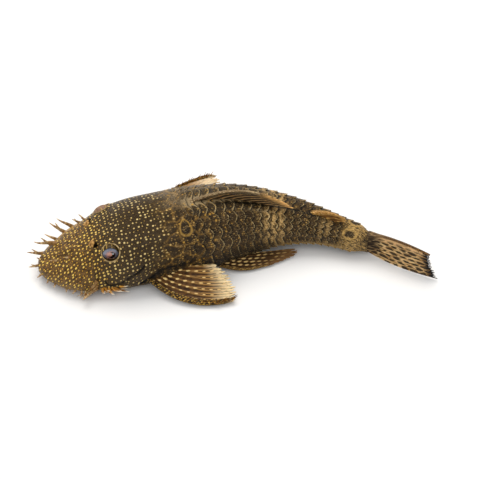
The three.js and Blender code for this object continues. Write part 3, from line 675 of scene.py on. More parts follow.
def skin_material():
    m = Shader("pleco_skin", Specular_IOR_Level=0.28, **scatter(0.04, (0.9, 0.5, 0.25), 0.4))
    s, arc, z = m.split(m.attribute("place"))
    dots_x, dots_y, draw_plate = m.split(m.attribute("dots"))
    a, b, zone = m.split(m.attribute("plate"))
    painted_hollow_shade, belly, ring = m.split(m.attribute("shade"))
    flat = m.combine(s, arc)
    aside = abs(arc)
    broad = m.noise(flat, 0.16, 3)
    medium = m.noise(flat, 0.7, 4)
    fine = m.noise(flat, 3.2, 4, 0.65)

    # Head: warm brown snout, darkening towards the nape, with fine dark and pale mottling
    back = s.ramp(6, 19) + (broad - 0.5) * 0.5
    ground = m.blend(back, "6e4f24", "4c3a1c")
    warm = medium.ramp(0.42, 0.65) * back.ramp(0.9, 0.2)
    ground.lay(warm * 0.55, "9c7338")
    wrinkle = m.noise((s * 0.5, arc * 1.5), 1.1, 4, 0.65)
    wrinkle = wrinkle.ramp(0.48, 0.36) * s.ramp(18, 11)
    ground.lay(wrinkle * 0.7, "2e1f0e")
    ground.lay(s.ramp(17, 25), "43331a")
    mottles = m.noise(flat, 1.5, 3, 0.6)
    ground.lay(mottles.ramp(0.5, 0.34) * 0.6, "2c2010")
    ground.lay(fine.ramp(0.5, 0.3) * 0.75, "20170b")
    ground.lay(fine.ramp(0.56, 0.72) * 0.6, "947240")
    low = z.ramp(4.4, 2) * s.ramp(16, 10)
    ground.lay(low * 0.6, "8c7450")
    # A pale rim on the snout's far side only: its paler margin with a painted highlight over it
    far_side = arc + medium * 2
    far_rim_highlight = s.ramp(17, 9) * far_side.ramp(5.4, 8.8) * 0.62
    far_rim_highlight = far_rim_highlight * far_side.ramp(11, 9.4)
    far_rim_highlight = far_rim_highlight * mottles.ramp(0.3, 0.56, 0.45, 1)
    ground.lay(far_rim_highlight, "d6a868")

    # Round dots, golden in front and cream behind, fewer past the head
    wobble = m.combine(dots_x + (medium - 0.5) * 0.4, dots_y + (fine - 0.5) * 0.15)
    spot, draw, chance, ring_round = m.spots(wobble, 0.22, 0.12, grow=s.ramp(13, 21, 0, -0.04))
    crown = s.ramp(15, 20) * aside.ramp(8, 5)
    share = 1 - crown * 0.12
    share = share * ring.ramp(-1, 1, 1, 0.3)
    share = share * ring.ramp(9, 5)
    kept = m.math("LESS_THAN", chance, share)
    kept = kept * z.ramp(1.6, 2.8) * far_rim_highlight.ramp(0.8, 0.5)
    kept = kept * (1 - painted_hollow_shade * 0.95)
    gold = m.blend(draw, "d89a2c", "ffd768")
    cream = m.blend(draw, "b48e40", "ecd08a")
    dot_colour = m.blend(s.ramp(12, 22), gold, cream)
    dot_colour.lay(ring.ramp(-0.5, 1.5), "c49438")
    ground.lay(ring_round * kept * 0.65, "1a1209")

    # Shoulder: large soft dark patches in a broken ochre web, and a drop-shaped ring on each side
    shoulder = ring.ramp(-1.2, 0) * ring.ramp(7, 4)
    web_place = m.combine(s + broad * 2, arc + medium * 1.2)
    cell = m.cells(web_place, 0.7, 0.27, feature="DISTANCE_TO_EDGE")[0]
    web_edge = cell + (fine - 0.5) * 0.22
    web = web_edge.ramp(0.13, 0.02) * shoulder * mottles.ramp(0.34, 0.54, 0.15, 1)
    patch = web_edge.ramp(0.14, 0.3) * shoulder
    drop_place = aside - DROP_ASIDE
    drop_x = (s - DROP_S) / (1.4 + drop_place * 0.2)
    drop_y = drop_place / 2.7
    drop = m.length(drop_x, drop_y)
    drop_ring = drop.ramp(0.72, 0.9) * drop.ramp(1.16, 1)
    drop_inside = drop.ramp(0.8, 0.4)

    # Plates: dark, with thin broken rims, ochre specks and a few bright bands, painted shadow before each
    # rim and a painted sheen at the nape
    across = abs(b)
    net = across.ramp(0.66, 0.98) * medium.ramp(0.45, 0.62)
    streak = m.noise((s * 1.2, arc * 4.2), 1.6, 3, 0.6)
    plate = m.blend(fine.ramp(0.36, 0.66), "0f0a04", "43311a")
    plate.lay(streak.ramp(0.5, 0.66) * 0.6, "785a28")
    plate.lay(draw_plate * 0.25, "523d1b")
    plate.lay(net * 0.5, "80602a")
    plate.lay(patch * 0.45, "2b2112")
    web_colour = m.blend(fine.ramp(0.4, 0.62), "6a4c1a", "b08434")
    plate.lay(web * drop.ramp(0.9, 1.2) * 0.6, web_colour)
    plate.lay(drop_inside * 0.75, "2e2413")
    plate.lay(drop_ring * 0.75, "b0883a")
    patches = m.noise((s, arc * 0.6), 0.9, 4, 0.6)
    bands = m.noise(flat, 0.34, 3).ramp(0.56, 0.72) * 0.4
    for centre, width, strength in ((62.0, 4.6, 1.0), (76.4, 2.2, 0.45), (86.0, 3.6, 0.8)):
        away = abs(s - centre)
        band = away.ramp(width, width * 0.3) * z.ramp(3, 8, 0.35, 1) * strength
        bands = m.math("MAXIMUM", bands, band * patches.ramp(0.4, 0.58))
    bright = m.blend(fine.ramp(0.38, 0.6), "7c5620", "f6cc84")
    plate.lay(bands * a.ramp(0.2, 0.5, 0.4, 1), bright)
    # Painted sheen: paler plates along the far side of the back at the nape, where the light glances off
    painted_nape_sheen = arc.ramp(-3, 1.5) * ring.ramp(-1, 1) * ring.ramp(10, 6)
    painted_nape_sheen = painted_nape_sheen * arc.ramp(13, 8) * fine.ramp(0.44, 0.6, 0.05, 0.5)
    plate.lay(painted_nape_sheen, "a8977a")
    ridge = aside.ramp(4.6, 2.6) * ring.ramp(1, 4) * s.ramp(64, 58)
    plate.lay(ridge * 0.3, "7c5c2a")
    ridge_row = aside.ramp(5.2, 4.2) * ring.ramp(1.5, 3.5) * ring.ramp(14, 11)
    plate_x = (a - 0.52) / 0.48
    plate_away = m.length(plate_x, b)
    plate.lay(ridge_row * plate_away.ramp(0.95, 0.7, 0, 0.7), "2f2717")
    pale_ring = plate_away.ramp(0.78, 0.98) * fine.ramp(0.38, 0.56, 0.3, 0.75)
    plate.lay(ridge_row * pale_ring, "b8a27a")
    # Painted shadow: a dark strip at each plate's front, in the shade of the rim ahead
    painted_gap_shadow = a.ramp(0.34, 0.04) * ring.ramp(1, 4)
    plate.lay(painted_gap_shadow * 0.95, "0a0703")
    broken = m.noise(flat, 2.4, 3).ramp(0.42, 0.56) * across.ramp(1, 0.8)
    rim = a.ramp(0.84, 0.95) * broken * draw_plate.ramp(0.1, 0.7, 0.25, 1)
    rim = rim * ring.ramp(2, 6) * ring.ramp(24.5, 23.5)
    rim_colour = m.blend(bands, "d6bc84", "fbe2ac")
    plate.lay(rim * 0.85, rim_colour)
    speck_place = m.combine(s * 1.5, arc * 1.5)
    speck, _, speck_chance, _ = m.spots(speck_place, 0.24, 0.14, 0.1, 1)
    speck = speck * speck_chance.ramp(0.4, 0.3) * a.ramp(0.25, 0.6)
    plate.lay(speck * 0.8, "c49a50")
    low_edge = z.ramp(4.4, 2.4) * s.ramp(60, 68)
    low_edge = low_edge * mottles.ramp(0.32, 0.55)
    plate.lay(low_edge * 0.8, "c09a5a")

    # Tail base: streaks along the body, and an ochre loop round a dark spot on each side
    tail_base = s.ramp(80, 83)
    tail_streak = m.noise((s * 0.7, arc * 1.9), 1.5, 4, 0.65)
    tail_skin = m.blend(tail_streak.ramp(0.44, 0.56), "22170a", "dab068")
    plate.lay(tail_base * 0.8, tail_skin)
    loop_x = (s - 83.2) / 1.9
    loop_y = (aside - 3) / (1.9 + broad * 0.6)
    loop = m.length(loop_x, loop_y)
    plate.lay(loop.ramp(0.75, 0.5) * 0.9, "2a1f10")
    loop_ring = loop.ramp(0.7, 0.86) * loop.ramp(1.15, 1)
    loop_ring = loop_ring * fine.ramp(0.36, 0.5, 0.3, 1)
    plate.lay(loop_ring * 0.8, "c8a058")
    tail_end = s.ramp(84.6, 88) * tail_streak.ramp(0.62, 0.48)
    plate.lay(tail_end * 0.9, "22170a")
    # Painted shadow: a dark line on the near side of the back, under the folded dorsal fin and past its
    # end
    painted_dorsal_shadow = abs(arc + s.ramp(56, 71, 2.5, 1.1))
    painted_dorsal_shadow = painted_dorsal_shadow.ramp(0.6, 0.25) * s.ramp(43, 49) * s.ramp(76, 72)
    plate.lay(painted_dorsal_shadow * 0.85, "0c0804")

    body = m.blend(zone, ground, plate)
    on_web = 1 - ring.ramp(-0.5, 1) * web_edge.ramp(0.12, 0.26)
    body.lay(spot * kept * on_web, dot_colour)
    # Darker lower flank: partly the flank's own darker tone, mostly painted shade under the body near the
    # ground
    low_flank_tone_and_shade = s.ramp(25, 29) * s.ramp(66, 58)
    body.lay(z.ramp(10, 5) * low_flank_tone_and_shade * 0.35, "1a1209")
    body.lay(z.ramp(6, 2.4) * low_flank_tone_and_shade * 0.8, "120c06")
    under = m.blend(medium, "6f5c40", "9a8660")
    body.lay(belly * z.ramp(1.6, 0.4), under)
    # Painted shade in the head's grooves, pits and hollows
    body.lay(painted_hollow_shade * 0.94, "0a0603")
    m.colour(body)
    m.rough(fine.ramp(0.3, 0.75, 0.3, 0.55))
    grain = m.cells((s, arc), 1, 3.6)[0]
    height = fine * 0.6 + grain * 0.6
    height = height + cell.ramp(0, 0.25) * shoulder * 1.2
    m.bump(height, 0.00026, 0.9)
    return m.material


# Fins
def three_point(a, b, c, t):
    return a * (1 - t) ** 2 + b * 2 * t * (1 - t) + c * t**2


PECTORAL_LEFT = dict(
    side=LEFT, rays=6, spine_thick=1.1, spine_wide=0.13, root=0.9,
    first=[(25.6, 10.4, 2.6), (33.2, 22.8, 0.1), (44.2, 22.5, 1.0)],
    last=[(32.0, 9.6, 5.2), (37.0, 12.2, 5.6), (43.2, 11.8, 4.4)],
    edge=(48.8, 19.4, 1.2),
)
PECTORAL_RIGHT = dict(
    side=RIGHT, rays=6, spine_thick=1.1, spine_wide=0.13, root=0.9,
    first=[(26.6, 10.2, 3.8), (38.8, 20.6, 3.6), (50.6, 21.3, 3.9)],
    last=[(32.6, 9.6, 5.8), (38.6, 13.2, 6.2), (46.0, 13.0, 5.8)],
    edge=(55.4, 17.6, 3.1),
)
PELVIC_LEFT = dict(
    side=LEFT, rays=5, spine_thick=0.6, spine_wide=0.08, root=0.5,
    first=[(42.4, 7.6, 1.6), (48.4, 15.6, 0.6), (60.5, 11.7, 0.75)],
    last=[(47.4, 7.2, 2.0), (57.0, 9.4, 1.5), (69.2, 5.6, 1.0)],
    edge=(71.2, 8.8, 0.6),
)
PELVIC_RIGHT = {
    **PELVIC_LEFT,
    "side": RIGHT,
    "last": [(47.4, 7.2, 2.0), (57.0, 9.4, 1.5), (69.2, 6.3, 1.0)],
    "edge": (71.2, 9.7, 0.6),
}
DORSAL = dict(
    rays=7, spine_thick=0.6, spine_wide=0.045, root=0.3,
    first=[(39.6, 0.2, 16.0), (49.0, -0.7, 20.1), (60.0, -2.4, 16.5)],
    last=[(58.4, -1.4, 12.6), (62.0, -2.0, 13.1), (67.6, -1.9, 11.6)],
    edge=(65.4, -2.6, 14.2),
)
ADIPOSE = dict(
    rays=2, spine_thick=0.7, spine_wide=0.3, root=0.4,
    first=[(71.4, 0.2, 9.1), (76.4, 0.4, 10.9), (80.6, 0.3, 9.2)],
    last=[(78.0, 0, 7.5), (79.4, 0, 8.1), (81.2, 0.1, 8.1)],
    edge=(81.7, 0.2, 8.8),
)
ANAL = dict(
    rays=4, spine_thick=0.3, spine_wide=0.1, root=0.0,
    first=[(61.6, -1.2, 1.5), (65.0, -2.2, 0.2), (71.6, -1.6, 0.6)],
    last=[(63.4, 1.0, 1.6), (67.0, 1.5, 0.3), (71.4, 1.0, 0.6)],
    edge=(73.4, -0.2, 0.6),
)
CAUDAL = dict(
    rays=14, spine_thick=0.5, spine_wide=0.06, root=2.5,
    first=[(87.4, 0, 7.2), (95.0, 0, 8.9), (104.6, 0, 7.4)],
    last=[(87.4, 0, 1.0), (95.0, -2.4, 0.3), (107.8, -0.6, 0.7)],
    edge=(104.6, 0, 4.2),
)
MEMBRANE = 0.36
RAY_THICK = 0.8
RAY_SAMPLES = 14
FIN_ROWS = 60
TAIL_DASH_ROWS, TAIL_DASH_STEP = 0.52, 2.5


def fin_middle(fin, u, v):
    side = np.array([1, fin.get("side", 1), 1])
    first = [np.array(p) * side for p in fin["first"]]
    last = [np.array(p) * side for p in fin["last"]]
    u, v = u[..., None], v[..., None]
    base = mix(first[0], last[0], u)
    control = mix(first[1], last[1], u)
    tip = three_point(first[2], np.array(fin["edge"]) * side, last[2], u)
    at = three_point(base, control, tip, v)
    return place(at[..., 0], at[..., 1], at[..., 2])


def build_fin(name, fin, material, notch=0.08, forked=True):
    """A sheet whose rays stand out on both faces, fork and run past the skin between them."""
    spine, rays = fin["spine_wide"], fin["rays"]
    lead = spine * 1.3
    in_spine = np.linspace(0, spine, 11)
    ray = np.linspace(0.3, rays, int((rays - 0.3) * RAY_SAMPLES))
    u = np.concatenate([in_spine, lead + (1 - lead) * (ray - 0.25) / (rays - 0.25)])
    ray_at = np.concatenate([np.linspace(-1, 0, 11), ray])
    u = np.minimum(u, 1)[:, None]
    ray_at = ray_at[:, None]
    rows = np.linspace(0, 1, FIN_ROWS)[None]
    off = np.abs(ray_at - np.round(ray_at))
    fork = smooth(rows, 0.38, 0.75) * (0.22 if forked else 0.0)
    ridge = np.exp(-(((off - fork) / 0.13) ** 2))
    twig = np.exp(-(((off - fork) / 0.2) ** 2))
    spine_mask = np.zeros_like(u)
    spine_mask[:11, 0] = np.sqrt(np.clip(1 - ((in_spine - spine / 2) / (spine / 2)) ** 2, 0.08, 1))
    is_spine = (np.arange(len(u)) < 11)[:, None]
    frayed = np.random.default_rng(len(u)).random(rays * 4 + 3)[np.round(ray_at * 4).astype(int)]
    tip = 1 - (notch * (1 - twig[:, -1:]) + 0.03 * frayed) * ~is_spine
    v = rows * tip
    middle = fin_middle(fin, np.broadcast_to(u, v.shape), v)
    joints = 1 + 0.12 * np.sin(v * 95) * smooth(v, 0.3, 0.5)
    taper = mix(1, 0.4, v)
    ray_form = (RAY_THICK - MEMBRANE) * ridge * joints * taper
    spine_form = fin["spine_thick"] * 1.1 * spine_mask * mix(1, 0.45, v)
    thick = MEMBRANE * mix(1, 0.5, v) + np.where(is_spine, spine_form, ray_form)
    swell = np.sqrt(np.clip(1 - (2 * np.broadcast_to(u, v.shape) - 1) ** 2, 0, 1))
    thick = thick + fin["root"] * swell * (1 - smooth(v, 0, 0.22))
    across = np.gradient(middle, axis=0)
    along = np.gradient(middle, axis=1)
    normal = unit(np.cross(across, along))
    upper = middle + normal * thick[..., None] / 2
    lower = middle - normal * thick[..., None] / 2
    columns = len(v)
    grid = np.concatenate([upper, lower[:, ::-1]], axis=1)
    points, faces = loft(grid)
    length = np.linalg.norm(middle[:, 1:] - middle[:, :-1], axis=-1)
    run = np.concatenate([np.zeros((columns, 1)), np.cumsum(length, axis=1)], axis=1)
    spacing = np.linalg.norm(across, axis=-1) / np.maximum(np.gradient(ray_at[:, 0]), 1e-3)[:, None]
    spacing[:11] = 0.4
    marks_one = np.stack([np.broadcast_to(ray_at, v.shape), run, spacing], -1)
    form_one = np.stack([ridge * ~is_spine, np.broadcast_to(is_spine, v.shape), rows + 0 * v], -1)
    marks = {}
    for key, one in (("ray", marks_one), ("form", form_one)):
        both = np.concatenate([one, one[:, ::-1]], axis=1).reshape(-1, 3)
        marks[key] = np.vstack([both, both[0], both[-1]])
    add_mesh(name + "_shown", points, faces, material, "fins", (name,), marks)
    return middle, normal, thick


def fin_material(name, membrane, ray, margin, dot, spine, step=2.3, long=0.26, wide=0.27):
    """Striped fin skin with a row of pale spots along each ray."""
    m = Shader(name, Specular_IOR_Level=0.3, **scatter(0.08, (1.0, 0.6, 0.3), 0.4))
    r, run, spacing = m.split(m.attribute("ray"))
    ridge, in_spine, v = m.split(m.attribute("form"))
    whole = m.math("ROUND", r)
    aside = (r - whole) * spacing
    shift = m.random(whole, "1D")
    beat = run / step + shift
    cell = m.math("FLOOR", beat)
    gap = (m.math("FRACT", beat) - 0.5) * step
    odd = m.random((whole, cell))
    wide_by = aside / m.math("MINIMUM", wide, spacing * 0.46)
    along = gap / (long + odd * 0.22)
    away = m.length(wide_by, along)
    spot = away.ramp(1.2, 0.7) * odd.ramp(0.06, 0.12)
    surface = m.combine(r * 1.3, run)
    mottle = m.noise(surface, 0.8, 4)
    fine = m.noise(surface, 4, 3, 0.6)
    streak = m.noise((r * 7, run * 0.5), 1, 3, 0.6)
    twig = m.math("PINGPONG", r * 2, 0.5).ramp(0.06, 0.26)
    base = m.blend(mottle.ramp(0.3, 0.7), membrane[0], membrane[1])
    base.lay(ridge * v.ramp(0.1, 0.7, 0.5, 0.9), ray)
    hind = v.ramp(0.7, 0.97) * streak.ramp(0.3, 0.5, 0.4, 1)
    base.lay(hind, margin)
    comb = (1 - twig) * v.ramp(0.35, 0.8) * v.ramp(1, 0.8, 0.5, 1)
    base.lay(comb * 0.7, membrane[0])
    base.lay(streak.ramp(0.46, 0.34) * 0.65, membrane[0])
    base.lay(spot * v.ramp(1, 0.9), dot)
    leading = m.blend(fine.ramp(0.35, 0.7), spine[0], spine[1])
    gems, _, _, _ = m.spots((run * 1.2, r * 2.8), 0.26, 0.14)
    leading.lay(gems * 0.85, spine[2])
    base.lay(in_spine * v.ramp(1, 0.9, 0.3, 1), leading)
    m.colour(base)
    m.rough(fine.ramp(0.3, 0.7, 0.32, 0.5))
    m.bump(fine + spot * 0.4 + comb * -0.6, 0.00013, 0.8)
    return m.material


def tail_fin_material():
    """Peach skin with rows of dark dashes, a dark base and a jagged black end."""
    m = Shader("tail_fin_skin", Specular_IOR_Level=0.3, **scatter(0.08, (1.0, 0.6, 0.3), 0.4))
    r, run, _ = m.split(m.attribute("ray"))
    _, in_spine, v = m.split(m.attribute("form"))
    warp = m.noise((r, run * 0.4), 0.9, 3)
    lane = r * TAIL_DASH_ROWS + (warp - 0.5) * 1.1
    whole = m.math("ROUND", lane)
    aside = lane - whole
    beat = (run + warp * 2) / TAIL_DASH_STEP + whole * 0.5
    cell = m.math("FLOOR", beat)
    gap = m.math("FRACT", beat) - 0.5
    odd = m.random((whole, cell))
    wide_by = aside / (0.26 + odd * 0.2)
    along = gap / (0.24 + odd * 0.2 + v * 0.1)
    away = m.length(wide_by, along)
    dash = away.ramp(1.2, 0.75)
    streak = m.noise((r * 2.2, run * 0.35), 1, 4, 0.6)
    fine = m.noise((r * 1.3, run), 4, 3, 0.6)
    base = m.blend(streak.ramp(0.4, 0.62), "a0743a", "f0cc90")
    base.lay(streak.ramp(0.45, 0.3) * 0.7, "4a3216")
    upper = r.ramp(3.6, 1.4)
    base.lay(upper * streak.ramp(0.3, 0.6, 0.4, 1), "eabf86")
    base.lay(dash * r.ramp(1.2, 2.6, 0.35, 0.92), "1c1209")
    root = (v + streak * 0.3).ramp(0.5, 0.26) * streak.ramp(0.7, 0.52)
    base.lay(root * r.ramp(12, 6, 0.45, 0.9), "2a1c0d")
    jagged = v + (streak - 0.5) * 0.35
    base.lay(jagged.ramp(0.93, 0.96), "0e0a06")
    leading = m.blend(fine.ramp(0.4, 0.65), "2c1d0d", "8a6230")
    base.lay(in_spine * v.ramp(0.12, 0.3), leading)
    m.colour(base)
    m.rough(fine.ramp(0.3, 0.7, 0.32, 0.5))
    m.bump(fine + m.math("PINGPONG", r, 0.5).ramp(0, 0.3), 0.00014, 0.8)
    return m.material


# Tentacles: s, degrees up, lean ahead, out and up, length, 1 if forked, as in the solids
TENTACLE_ROOT = 0.9
TENTACLES_RIGHT = [
    (0.4, 10, 1, 0.0, 0.1, 2.6, 1),
    (2.6, 14, 1, 0.15, 0.12, 4.2, 1),
    (5.4, 62, 1, 0.1, 0.3, 5.6, 1),
    (6.2, 18, 0.8, 0.4, 0.35, 3.4, 0),
    (8.5, 26, 0.78, 0.35, 0.5, 4.6, 1),
    (10.4, 36, 0.78, 0.3, 0.5, 4.3, 0),
    (12.3, 42, 0.8, 0.35, 0.25, 1.8, 1),
    (13.8, 46, 0.75, 0.4, 0.4, 1.8, 0),
    (1.6, -20, 0.6, 0.8, -0.1, 1.4, 0),
    (4.4, -20, 0.4, 0.9, -0.1, 1.6, 0),
    (7.6, -20, 0.4, 0.9, -0.1, 1.8, 0),
    (10.4, -20, 0.5, 0.85, 0, 2.4, 0),
    (12.6, -15, 0.6, 0.75, 0, 3.4, 1),
]
TENTACLES_LEFT = [
    (0.4, 0, 0.85, 0.5, 0.1, 2.0, 0),
    (1.4, -20, 0.6, 0.8, -0.1, 1.3, 0),
    (3.0, -20, 0.5, 0.85, -0.1, 1.4, 0),
    (5.9, -20, 0.3, 0.95, -0.1, 1.5, 0),
    (7.9, -20, 0.45, 0.9, -0.1, 1.6, 0),
    (9.6, -20, 0.35, 0.9, -0.05, 2.2, 0),
    (11.0, -18, 0.6, 0.8, 0, 2.9, 1),
    (12.3, -12, 0.72, 0.7, 0, 4.6, 1),
    (4.6, 75, 1, 0, 0.35, 1.8, 0),
    (8.0, 68, 0.9, 0.1, 0.45, 1.6, 0),
]


def bezier(controls, t):
    points = [np.asarray(p, float)[None] * np.ones_like(t) for p in controls]
    while len(points) > 1:
        points = [mix(a, b, t) for a, b in zip(points[:-1], points[1:])]
    return points[0]


# Folds of skin at the mouth's corner: (s, degrees up, lift) along the cheek, a free tip, thickness
MOUTH_FOLDS = [
    ([(13.5, 12, -0.3), (12.3, 4, 0.0), (11.2, -10, 0.35)], (8.6, 10.9, 0.5), 0.42),
    ([(13.5, 4, -0.3), (12.6, -2, 0.0), (11.5, -12, 0.3)], (9.3, 11.4, 0.5), 0.36),
    ([(13.4, -6, -0.3), (12.9, -10, 0.0), (12.2, -16, 0.3)], (10.4, 11.0, 0.6), 0.34),
    ([(12.6, -12, -0.3), (11.8, -14, 0.0), (11.0, -18, 0.2)], (8.0, 10.0, 0.5), 0.3),
]


def build_tentacles(material):
    heap = Heap()
    random = np.random.default_rng(7)
    t = np.linspace(0, 1, 16)[:, None]

    def shoot(path, length, thick, draw):
        radii = thick * (1 - t[:, 0] ** 1.3) ** 0.8 * (1 + 0.25 * np.exp(-(t[:, 0] * 6) ** 2)) + 0.03
        points, faces = tube(path, radii)
        share = np.append(np.repeat(t[:, 0], 10), [0, 1])
        marks = np.stack([share, np.full_like(share, draw), share * length], -1)
        heap.take(points, faces, marks)

    def grow(start, direction, length, thick, bend, draw):
        sway = unit(np.cross(direction, [0, 0, 1])) * length * 0.05 * random.normal()
        path = start + direction * length * t + bend * t**2 + sway * np.sin(t * 5.5)
        shoot(path, length, thick, draw)

    for side, rows in ((RIGHT, TENTACLES_RIGHT), (LEFT, TENTACLES_LEFT)):
        for s, up, ahead, out, rise, length, forks in rows:
            here = place(s, 0, 0)
            direction = unit(place(s - ahead, side * out, rise) - here)
            start = on_body(s, up, side, -0.1) - direction * TENTACLE_ROOT
            thick = 0.26 + 0.06 * length
            bend = np.array([0, 0, length * 0.12])
            draw = random.random()
            grow(start, direction, length + TENTACLE_ROOT, thick, bend, draw)
            if forks:
                branch = unit(direction + np.array([0.05, side * 0.2, 0.42]))
                root = start + direction * (TENTACLE_ROOT + length * 0.22)
                grow(root, branch, length * 0.55, thick * 0.62, bend * 0.4, draw)
        for rest, tip, thick in MOUTH_FOLDS:
            controls = [on_body(s, up, side, lift) for s, up, lift in rest]
            path = bezier(controls + [place(tip[0], side * tip[1], tip[2])], t)
            shoot(path, 4.0, thick, 0.1 + 0.2 * random.random())
    heap.mesh("tentacles", material, "head_skin")


def tentacle_material():
    under_skin = scatter(0.15, (1.0, 0.5, 0.25), 0.6)
    m = Shader("tentacle_flesh", Roughness=0.42, Specular_IOR_Level=0.3, **under_skin)
    along, draw, run = m.split(m.attribute("along"))
    vein = m.noise((run * 0.7, draw * 9), 1.8, 3)
    low = m.blend(vein, "684920", "a67c42")
    high = m.blend(vein.ramp(0.35, 0.65), "8a6232", "d6bb8c")
    m.colour(m.blend(along.ramp(0.1, 0.75), low, high))
    m.bump(vein, 0.0001, 0.5)
    return m.material


# Cheek spines
CHEEK_SPINES = 18


def build_cheek_spines(material):
    heap = Heap()
    t = np.linspace(0, 1, 14)[:, None]
    for side in SIDES:
        random = np.random.default_rng(21 + side)
        for k in range(CHEEK_SPINES):
            share = k / (CHEEK_SPINES - 1)
            rank = k % 3
            s = mix(14.8, 18.6, share) + random.uniform(-0.25, 0.25)
            root = on_body(s, -4 - 10 * rank, side, -0.35)
            back = unit(place(s + 1, 0, 0) - place(s, 0, 0))
            out = unit(place(s, side * 20, 0) - place(s, 0, 0))
            down = np.array([0, 0, -1.0])
            start = out * random.uniform(0.5, 1.0) + down * random.uniform(0.4, 0.9)
            start = start + back * mix(-0.4, 0.9, share)
            length = random.uniform(1.6, 2.7) * (1 - 0.1 * rank)
            hook = back * random.uniform(0.6, 2.2) + out * random.uniform(-0.3, 0.4)
            hook = hook - down * random.uniform(0, 0.8)
            path = root + unit(start) * length * t + hook * t**2.6
            path[:, 2] = np.maximum(path[:, 2], 0.3)
            radii = random.uniform(0.24, 0.34) * (1 - t[:, 0] ** 2.2) ** 0.7 + 0.02
            points, faces = tube(path, radii, 8)
            share_along = np.append(np.repeat(t[:, 0], 8), [0, 1])
            marks = np.stack([share_along, np.full_like(share_along, random.random()), share_along], -1)
            heap.take(points, faces, marks)
    heap.mesh("cheek_spines", material, "head_skin")


def spine_material(name, root, tip, start=0.3):
    m = Shader(name, Roughness=0.35, Specular_IOR_Level=0.35)
    along, draw, _ = m.split(m.attribute("along"))
    base = m.blend(draw, root[0], root[1])
    m.colour(m.blend(along.ramp(start, 1), base, tip))
    return m.material


# Tiny spines on the plates' rear edges and faces
def build_plate_spines(points, normal, material):
    random = np.random.default_rng(3)
    roots, directions, lengths = [], [], []
    columns = len(PLATE_COLUMNS)
    for i in range(1, PLATE_RINGS):
        size = min(1, half_width(ring_starts[i]) / 6)
        for row in range(2 * PLATE_ROWS):
            for k in range(PLATE_EDGE_SPINES + PLATE_FACE_SPINES):
                on_edge = k < PLATE_EDGE_SPINES
                column = 10 if on_edge else int(random.integers(3, 9))
                ring = HEAD_COLUMNS + i * columns + column
                across = int(random.integers(1, PLATE_SAMPLES))
                index = row % PLATE_ROWS * PLATE_SAMPLES + across
                if row >= PLATE_ROWS:
                    index = len(THETA) - 1 - index
                back = unit(points[ring, index] - points[ring - 2, index])
                out = normal[ring, index]
                roots.append(points[ring, index] - out * 0.05 - back * 0.08)
                directions.append(back + out * random.uniform(0.25, 0.5))
                lengths.append((0.46 if on_edge else 0.36) * size * random.uniform(0.8, 1.2))
    lengths = np.array(lengths)
    cones("plate_spines", roots, directions, lengths, 0.085 + 0 * lengths, material, "plates")


def build_fin_spines(name, middle, normal, thick, material, seed, count=150, scale=1.0):
    """Bristles on a fin's leading spine, longer towards its tip."""
    random = np.random.default_rng(seed)
    roots, directions, lengths = [], [], []
    for _ in range(count):
        v = random.uniform(0.18, 0.99)
        row = int(v * (FIN_ROWS - 1))
        column = int(random.integers(1, 10))
        at = middle[column, row]
        up = normal[column, row] * (1 if normal[column, row][2] > 0 else -1)
        back = unit(middle[column, min(row + 1, FIN_ROWS - 1)] - middle[column, row - 1])
        inward = unit(middle[10, row] - middle[0, row])
        roots.append(at + up * thick[column, row] * 0.4)
        lean = random.uniform(-0.4, 0.9)
        directions.append(back * 0.8 + up * random.uniform(0.3, 0.8) + inward * lean)
        lengths.append(mix(0.5, 1.6, v**2) * random.uniform(0.7, 1.2) * scale)
    lengths = np.array(lengths)
    cones(name, roots, directions, lengths, 0.07 + 0.04 * lengths, material, "fins", 5)


# Eyes
def polar_shell(centre, axis, outline, around=48):
    """A closed shell turned about an axis: outline is (degrees from the axis, radius)."""
    axis = unit(axis)
    side = unit(np.cross(axis, [0, 0, 1.0]))
    up = np.cross(side, axis)
    angles = np.arange(around) / around * 2 * math.pi
    spoke = np.cos(angles)[:, None] * side + np.sin(angles)[:, None] * up
    rings = []
    for degrees, radius in outline:
        a = degrees * DEG
        rings.append(centre + radius * (math.cos(a) * axis + math.sin(a) * spoke))
    return np.array(rings), angles


IRIS_EDGE = 72.0
IRIS_BULGE = 0.42
BALL_OUT = 0.4
BALL_RADIUS = EYE_RADIUS + 0.1
LID_RADIUS = 2.3
RIM_RADIUS, RIM_THICK = 2.28, 0.17


